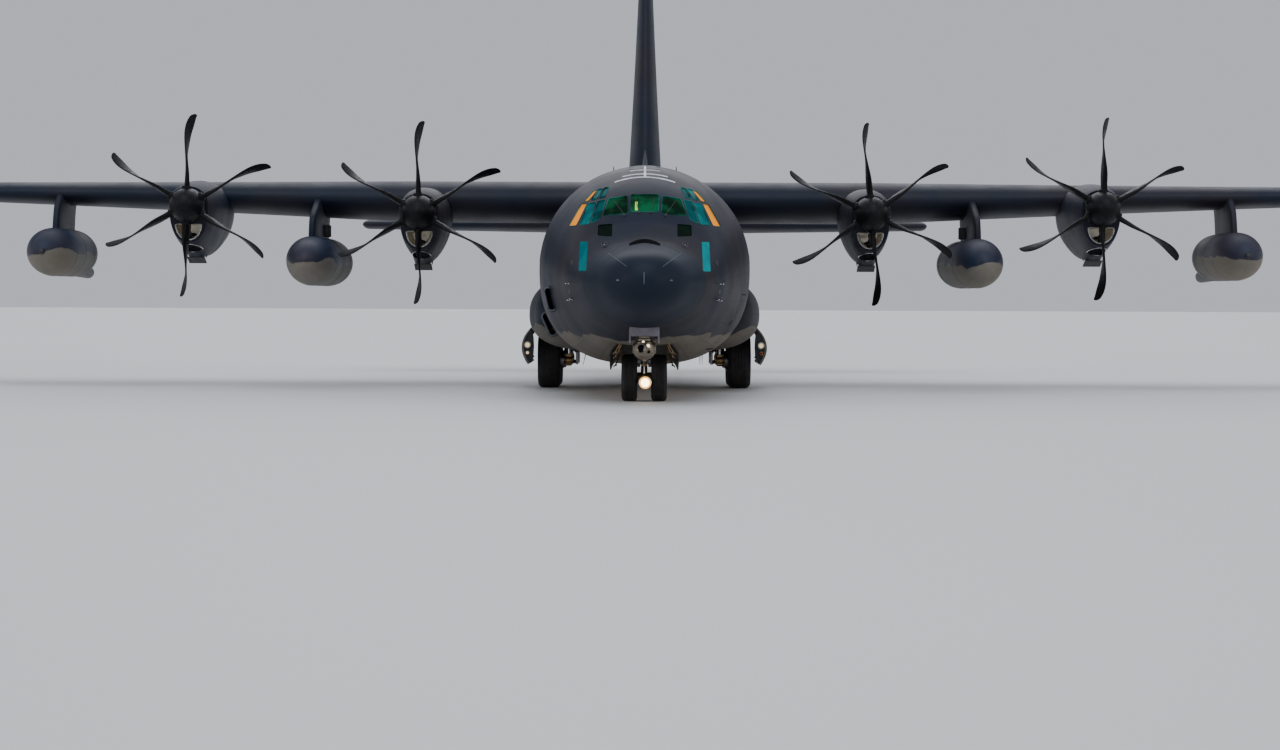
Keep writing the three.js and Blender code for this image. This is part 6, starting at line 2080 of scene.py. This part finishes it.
class PLANE_OT_turret(bpy.types.Operator):
    """Builds the sensor ball under the nose with its lenses and its bracket"""

    bl_idname = "plane.turret"
    bl_label = "Sensor ball"

    def execute(self, context):
        x, y, _ = PIVOTS["sensor_turret_pan"]
        z, radius = BALL_HEIGHT, BALL_RADIUS
        angle = np.linspace(0, math.pi, 60)
        groove = 0.006 * (np.abs(np.abs(angle - math.pi / 2) - 0.5) < 0.03)
        ball = revolved(columns((radius - groove) * np.sin(angle), (radius - groove) * np.cos(angle)),
                        (x, y, z), "z", 72)
        neck = revolved([(0, 1.28), (0.17, 1.28), (0.17, 1.33), (0.15, 1.345), (0.15, 1.379), (0, 1.379)],
                        (x, y, 0), "z", 44)
        hubs = joined(revolved([(0, 0.2), (0.11, 0.2), (0.11, 0.222), (0.08, 0.235), (0, 0.235)], (0, 0, 0),
                               "x", 36) .on_side(side).at(x, y, z) for _, side in SIDES)
        bolts = rod([0, 0, 0], [0, 0, 0.008], 0.008, 6)
        ring = turns(20)
        bolts = bolts.copies(columns(0.155 * np.cos(ring) + x, 0.155 * np.sin(ring) + y, 1.27))
        piece("sensor_ball", ball + neck + hubs + bolts, "ball", "sensor_turret", slot="turret_metal",
              replaces=["sensor_turret"])
        # Two of the lenses take a glowing finish: painted glints.
        for name, (out, up), size, kind in (
                ("main", (-0.062, 0.012), 0.088, "dark lens"), ("laser", (0.078, 0.062), 0.042, "lit lens"),
                ("spotter", (0.085, -0.055), 0.036, "dark lens"), ("wide", (-0.02, 0.14), 0.03, "lit lens")):
            front = -math.sqrt(radius**2 - out**2 - up**2)
            rim = revolved([(size * 0.86, front + 0.05), (size * 1.1, front + 0.05),
                            (size * 1.1, front - 0.012), (size * 1.02, front - 0.02),
                            (size * 0.86, front - 0.012)], (x + out, y, z + up), "y", 36, closed=True)
            lens = revolved([(0, front - 0.012), (size * 0.5, front - 0.009), (size * 0.9, front),
                             (size * 0.9, front + 0.03), (0, front + 0.03)], (x + out, y, z + up), "y", 32)
            piece(f"sensor_{name}_rim", rim, "ball", "sensor_turret", slot="turret_metal")
            piece(f"sensor_{name}_lens", lens, kind, "sensor_turret")
        outline = rounded([(-0.31, 1.24), (-0.31, 1.56), (0.31, 1.56), (0.31, 1.24), (0.275, 1.24),
                           (0.275, 1.4), (-0.275, 1.4), (-0.275, 1.24)], 0.03, 4)
        cheeks = prism(outline, "y", y - 0.12, y + 0.12)
        top = eased_box((-0.3, y - 0.25, 1.382), (0.3, y + 0.25, 1.6), 0.02)
        piece("sensor_bracket", cheeks + top, "bracket", slot="lower_paint")
        return {"FINISHED"}


# Cockpit

DECK_BOTTOM, DECK_TOP = 2.25, 2.33


def seat_cushions(x):
    """A seat's pan, back and headrest, each with rounded edges."""
    return joined([eased_box((x - 0.24, 3.75, 2.72), (x + 0.24, 4.22, 2.86), 0.05),
                   eased_box((x - 0.24, -0.07, 0), (x + 0.24, 0.07, 0.72),
                             0.05).turned(-12, "X").at(0, 4.22, 2.84),
                   eased_box((x - 0.14, 4.3, 3.52), (x + 0.14, 4.42, 3.72), 0.04)])


def seat_frame(x):
    """A seat's boxed base and its two arm rests."""
    arms = [eased_box((x + k - 0.035, 3.85, 3.02), (x + k + 0.035, 4.25, 3.08), 0.02) for k in (-0.3, 0.3)]
    return joined([eased_box((x - 0.18, 3.85, DECK_TOP), (x + 0.18, 4.2, 2.72), 0.02)] + arms)


class PLANE_OT_cockpit(bpy.types.Operator):
    """Builds the flight deck's floor, instrument panel, pedestal, seats and bulkhead"""

    bl_idname = "plane.cockpit"
    bl_label = "Cockpit"

    def execute(self, context):
        ys = stations_between(2.6, FLIGHT_DECK_END - 0.05, 0.2)
        half = HULL.side(ys, np.full_like(ys, DECK_TOP)) - WALL - 0.01
        plate = floor_plate(ys, half, DECK_BOTTOM, DECK_TOP)
        panel = prism(rounded([(2.97, DECK_TOP), (2.97, 3.42), (3.05, 3.5), (3.2, 3.46), (3.18, 3.2),
                               (3.3, 2.7), (3.3, DECK_TOP)], 0.03, 4), "x", -1.05, 1.05)
        pedestal = eased_box((-0.22, 3.2, DECK_TOP), (0.22, 4.1, 2.95), 0.03)
        consoles = joined(eased_box((x - 0.17, 3.3, DECK_TOP), (x + 0.17, 4.3, 2.85), 0.03)
                          for x in (1.12, -1.12))
        piece("cockpit_deck", plate + panel + pedestal + consoles, "lining", slot="cabin_lining",
              replaces=["flight_deck_floor"])
        glass = [box((x - 0.13, 3.19, 2.95), (x + 0.13, 3.215, 3.2))
                 for x in (-0.82, -0.5, -0.16, 0.16, 0.5, 0.82)]
        glass += [box((x - 0.08, 3.4, 2.95), (x + 0.08, 3.6, 2.96)) for x in (-0.1, 0.1)]
        piece("cockpit_screens", joined(glass), "screen")
        displays = [eased_box((x - 0.11, 3.15, 3.68), (x + 0.11, 3.17, 3.9),
                              0.004).turned(-25, "X", (x, 3.15, 3.8)) for x in (-0.6, 0.6)]
        piece("head_up_displays", joined(displays), "lit green")
        places = (-0.62, 0.62)
        cushions = piece("crew_seats", joined(seat_cushions(x) for x in places), "cushion",
                         slot="cabin_lining")
        piece("crew_seat_frames", joined(seat_frame(x) for x in places), "lining")
        wall = HULL.rings([FLIGHT_DECK_END - 0.09, FLIGHT_DECK_END - 0.05], WALL + 0.002)
        keep = prism([(-3, DECK_TOP), (3, DECK_TOP), (3, 5.2), (-3, 5.2)], "y", 5, 8)
        bulkhead = make_solid("deck_bulkhead", loft(wall), (keep, True),
                              (box((-0.4, 6, 2), (0.4, 7, 4.1)), False))
        finished(bulkhead, "lining", slot="cabin_lining")
        return {"FINISHED"}


# Small fittings on the skins

# Bands across the roof: station, half width and length along the roof
ROOF_BANDS = [(4.05, 0.63, 0.075), (4.35, 0.478, 0.07), (4.88, 0.313, 0.075), (6.3, 0.247, 0.09)]
# Formation light strips on the nose's sides, as corners in x and z
STRIP = [(1.165, 2.69), (1.325, 2.69), (1.31, 3.29), (1.155, 3.29)]
# Cabin windows: station and height
WINDOWS = [(7.5, 3.05), (8.35, 3.05), (16.55, 3.05), (17.66, 2.55)]
PORT_PLACE = (4.82, 1.64)  # station and height of the port for air from the ground


def on_roof(x, y, out):
    """Points on the roof above a place in plan, raised by out."""
    x, y = np.broadcast_arrays(x, y)
    return columns(x, y, HULL.crown(x, y) + out)


def nose_plug(outline, outer, inner):
    """A solid of the outline's shape between two depths under the nose's skin."""
    return loft([on_nose(outline, outer), on_nose(outline, inner)])


def skin_line(points, radius):
    """A thin tube laid on the nose through points of a front view."""
    points = np.asarray(points, float)
    share = np.linspace(0, len(points) - 1, 10 * len(points))
    path = np.stack([np.interp(share, np.arange(len(points)), points[:, k]) for k in (0, 1)], -1)
    return tube(on_nose(path, 0.0), radius, 6)


def roof_markings():
    """Painted bands that follow the roof's curve, and the line between them."""
    bands = [(-half, half, y, y + long) for y, half, long in ROOF_BANDS] + [(-0.0225, 0.0225, 4.05, 5.95)]
    sheets = []
    for low, high, front, back in bands:
        x, y = np.meshgrid(np.linspace(low, high, 40), np.linspace(front, back, 24 if high < 0.1 else 4))
        sheets.append(slab(on_roof(x, y, 0.0035), on_roof(x, y, -0.01)))
    piece("roof_bands", joined(sheets), "marking")
    hatch = rounded([(-0.34, 5.15), (0.34, 5.15), (0.34, 5.85), (-0.34, 5.85)], 0.08)
    seam = tube(on_roof(hatch[:, 0], hatch[:, 1], 0.0), 0.006, 6, closed=True)
    piece("roof_hatch_seam", seam, "dark trim")


def nose_lines():
    """The intake slot above the radome as a black plate of painted shade, the seams that fan out from it,
    strips, ports and wipers.
    """
    x = np.linspace(-0.31, 0.31, 30)
    rise = 3.335 - 0.095 * (x / 0.31) ** 2
    lower = rise - 0.03 - 0.05 * np.sqrt(np.maximum(1 - (x / 0.32) ** 2, 0))
    slot = np.vstack([columns(x, rise), columns(x[::-1], lower[::-1])])
    # The skin is not cut here: a black plate through it paints the shade of the slot's opening.
    piece("nose_slot_painted_shade", nose_sheet(slot, -0.004, 0.03), "throat")
    dark, light = [], []
    for _, side in SIDES:
        dark.append(skin_line(np.array([(0.31, 3.25), (0.52, 3.17), (0.725, 3.045)]) * [side, 1], 0.005))
        light.append(skin_line(np.array([(0.725, 3.045), (0.53, 2.9), (0.355, 2.77)]) * [side, 1], 0.006))
        ring = ellipse(0.81, 3.22, 0.055, 0.05, 28) * [side, 1]
        dark.append(tube(on_nose(ring, 0), 0.013, 8, closed=True))
        dark.append(nose_plug(ellipse(1.47, 2.87, 0.03, 0.055, 20) * [side, 1], -0.006, 0.01))
        light.append(nose_plug(ellipse(0.81, 3.22, 0.018, 0.018, 16) * [side, 1], -0.01, 0.01))
        light.append(nose_plug(ellipse(0.52, 2.5, 0.03, 0.016, 16) * [side, 1], -0.014, 0.01))
    light.append(skin_line([(-0.01, 2.66), (-0.01, 2.43)], 0.009))
    piece("nose_seams", joined(dark), "dark trim")
    piece("nose_strips", joined(light), "frame line")
    for name, side in SIDES:
        strip = split_edges(rounded(STRIP, 0.02, 4), 5) * [side, 1]
        glow = "strip" if side > 0 else "dim strip"
        piece(f"formation_strip_{name}", nose_sheet(strip, -0.006, 0.01), glow)
        piece(f"formation_frame_{name}", tube(on_nose(strip, 0), 0.006, 6, closed=True), "seal")
    y, z = PORT_PLACE
    port_y, port_z = ellipse(y, z, 0.055, 0.055, 28).T
    port = tube(columns(HULL.side(port_y, port_z), port_y, port_z), 0.012, 8, closed=True)
    out = float(HULL.side(np.array(y), np.array(z)))
    plug = rod([out - 0.04, y, z], [out + 0.004, y, z], 0.05, 24)
    piece("ground_air_port", port + plug, "dark trim")
    wipers = []
    for low, high in (((0.12, 3.9), (0.2, 4.2)), ((0.42, 3.84), (0.62, 4.12))):
        for _, side in SIDES:
            arm = on_nose(np.array([low, high]) * [side, 1], -0.012)
            wipers.append(tube(np.linspace(arm[0], arm[1], 6), 0.007, 6))
            wipers.append(nose_plug(ellipse(low[0], low[1] - 0.01, 0.02, 0.02, 14) * [side, 1], -0.02, 0.01))
    piece("wipers", joined(wipers), "dark trim")


def nose_probes():
    """Two pitot heads and a vane on each side of the nose: a foot on the skin and a tube that points
    ahead."""
    light = []
    for x, z in ((1.56, 2.44), (1.5, 2.44), (1.47, 2.12), (1.53, 2.1)):
        foot = on_nose(np.array([[x, z]]), 0.01)[0]
        knee = foot + [0.055, -0.03, 0]
        light.append(tube([foot, knee, knee + [0.004, -0.03, 0], knee + [0, -0.15, 0]],
                          [0.02, 0.014, 0.014, 0.01], 10))
    pair("air_probes", joined(light), "chrome")
    pair("static_port", nose_plug(ellipse(1.53, 2.285, 0.028, 0.05, 24), -0.004, 0.01), "dark trim")


def cabin_windows():
    """Round cabin windows along the hold and one in each troop door: a dark pane in a raised ring."""
    angle = turns(40)
    for y, z in WINDOWS:
        ring_y, ring_z = y + 0.15 * np.cos(angle), z + 0.15 * np.sin(angle)
        ring = columns(HULL.side(ring_y, ring_z), ring_y, ring_z)
        x = float(HULL.side(np.array(y), np.array(z)))
        bulge = np.array([x + 0.006, y, z]) + (ring - ring.mean(0)) * 0.1
        pane = loft([ring - [0.03, 0, 0], ring - [-0.004, 0, 0], bulge])
        pair(f"cabin_window_{int(y * 10)}", pane, "cabin pane", slot="window_glass")
        pair(f"cabin_window_ring_{int(y * 10)}", tube(ring, 0.014, 8, closed=True), "seal")


def blade_antennas():
    """Swept blades on the roof and belly: sections that shrink and lean back with height."""
    def blade(x, y, z, height, chord, lean=0.25, side_lean=0.0):
        t = np.linspace(0, 1, 8)[:, None]
        u, side = foil_stops(12)
        size = chord * (1 - 0.55 * t**1.5)
        grid_y = y + chord * lean * t * 1.6 + (u - 0.5) * size
        grid_x = x + side_lean * t + side * foil_half(u, 0.14) * size
        return loft(columns(grid_x, grid_y, z + height * t))

    roof = [blade(-0.69, 7.5, 4.88, 0.17, 0.24), blade(0.69, 7.5, 4.88, 0.17, 0.24),
            blade(0, 8.8, 4.99, 0.3, 0.4), blade(0, 14.3, 4.97, 0.26, 0.36)]
    belly = [blade(-1.3, 9.2, 0.98, -0.36, 0.16, 0.3, -0.09), blade(1.25, 8.6, 0.94, -0.28, 0.14),
             blade(1.32, 9.6, 0.98, -0.34, 0.14), blade(0, 7.4, 0.74, -0.24, 0.34)]
    piece("blade_antennas", joined(shape.outward() for shape in roof + belly), "dark trim")
    dome = revolved([(0.5 * math.sin(a), 0.3 * math.cos(a)) for a in np.linspace(math.pi / 2, 0, 16)],
                    (0, 0, 0), "z", 48)
    dome = Shape(dome.points * [0.8, 2.0, 0.62] + [0, 16.2, 4.9], dome.faces)
    piece("satellite_dome", dome, "small panels", skin=plain_map(0, 1))
    beacon = revolved([(0, 0.12), (0.05, 0.11), (0.07, 0.06), (0.07, 0.0), (0, 0)], (0, 0, 0), "z", 28)
    piece("roof_beacon", beacon.at(0, 9.9, 5.0), "red lens")
    piece("fin_beacon", beacon.at(0, 26.9, FIN_TOP - 0.14), "red lens")


def wing_ends():
    """Position lamps in the tips' front edges, and wicks along the trailing edges."""
    tip = HALF_SPAN - 0.2
    for name, side in SIDES:
        front = wing_points(np.array([[tip]]), np.array([0.012]), 1)[0, 0]
        lamp = revolved([(0.05 * math.sin(a), 0.12 * math.cos(a)) for a in np.linspace(0, math.pi, 14)],
                        (0, 0, 0), "x", 24)
        lamp = lamp.at(*front)
        piece(f"tip_lamp_{name}", lamp.on_side(side), "red lens" if side > 0 else "green lens")
        for surface, start, end, _ in SURFACES[2:]:
            wicks = []
            for x in np.linspace(start + 0.4, end - 0.3, 7):
                base = wing_points(np.array([[x]]), np.array([1.0]), 1)[0, 0]
                wicks.append(rod(base - [0, 0.04, 0], base + [0, 0.16, 0.0], 0.006, 6))
            piece(f"{surface}_wicks_{name}", joined(wicks).on_side(side), "dark trim", f"{surface}_{name}")


class PLANE_OT_fittings(bpy.types.Operator):
    """Adds roof markings, nose lines, probes, ports, antennas, windows, lamps, wipers and wicks"""

    bl_idname = "plane.fittings"
    bl_label = "Small fittings"

    def execute(self, context):
        roof_markings()
        nose_lines()
        nose_probes()
        cabin_windows()
        blade_antennas()
        wing_ends()
        return {"FINISHED"}


class PLANE_OT_engines(bpy.types.Operator):
    """Gives the engine blocks inside the nacelles their metal"""

    bl_idname = "plane.engines"
    bl_label = "Engine blocks"

    def execute(self, context):
        for number in PROP_TURNS:
            engine = bpy.data.objects[f"engine_{number}"]
            engine.data.materials.clear()
            engine.data.materials.append(finish("steel"))
        return {"FINISHED"}


# Panel, and the order of work

OPERATORS = [
    PLANE_OT_stage, PLANE_OT_radome, PLANE_OT_flight_deck, PLANE_OT_hold, PLANE_OT_rear, PLANE_OT_wings,
    PLANE_OT_tail, PLANE_OT_nacelles, PLANE_OT_propellers, PLANE_OT_stores, PLANE_OT_fairings,
    PLANE_OT_main_gear, PLANE_OT_nose_gear, PLANE_OT_turret, PLANE_OT_cockpit, PLANE_OT_fittings,
    PLANE_OT_engines,
]


class PLANE_PT_panel(bpy.types.Panel):
    """Lists the steps in the sidebar"""

    bl_idname = "PLANE_PT_panel"
    bl_label = "Transport plane"
    bl_space_type = "VIEW_3D"
    bl_region_type = "UI"
    bl_category = "Transport plane"

    def draw(self, context):
        settings = context.scene.transport_plane
        for name in settings.bl_rna.properties.keys():
            if name not in ("rna_type", "name"):
                self.layout.prop(settings, name)
        for operator in OPERATORS:
            self.layout.operator(operator.bl_idname)


def register():
    for made in [PLANE_PG_settings, *OPERATORS, PLANE_PT_panel]:
        bpy.utils.register_class(made)
    bpy.types.Scene.transport_plane = bpy.props.PointerProperty(type=PLANE_PG_settings)


def unregister():
    del bpy.types.Scene.transport_plane
    for made in [PLANE_PT_panel, *reversed(OPERATORS), PLANE_PG_settings]:
        bpy.utils.unregister_class(made)


def main():
    register()
    for operator in OPERATORS:
        group, step = operator.bl_idname.split(".")
        getattr(getattr(bpy.ops, group), step)()


if __name__ == "__main__":
    main()
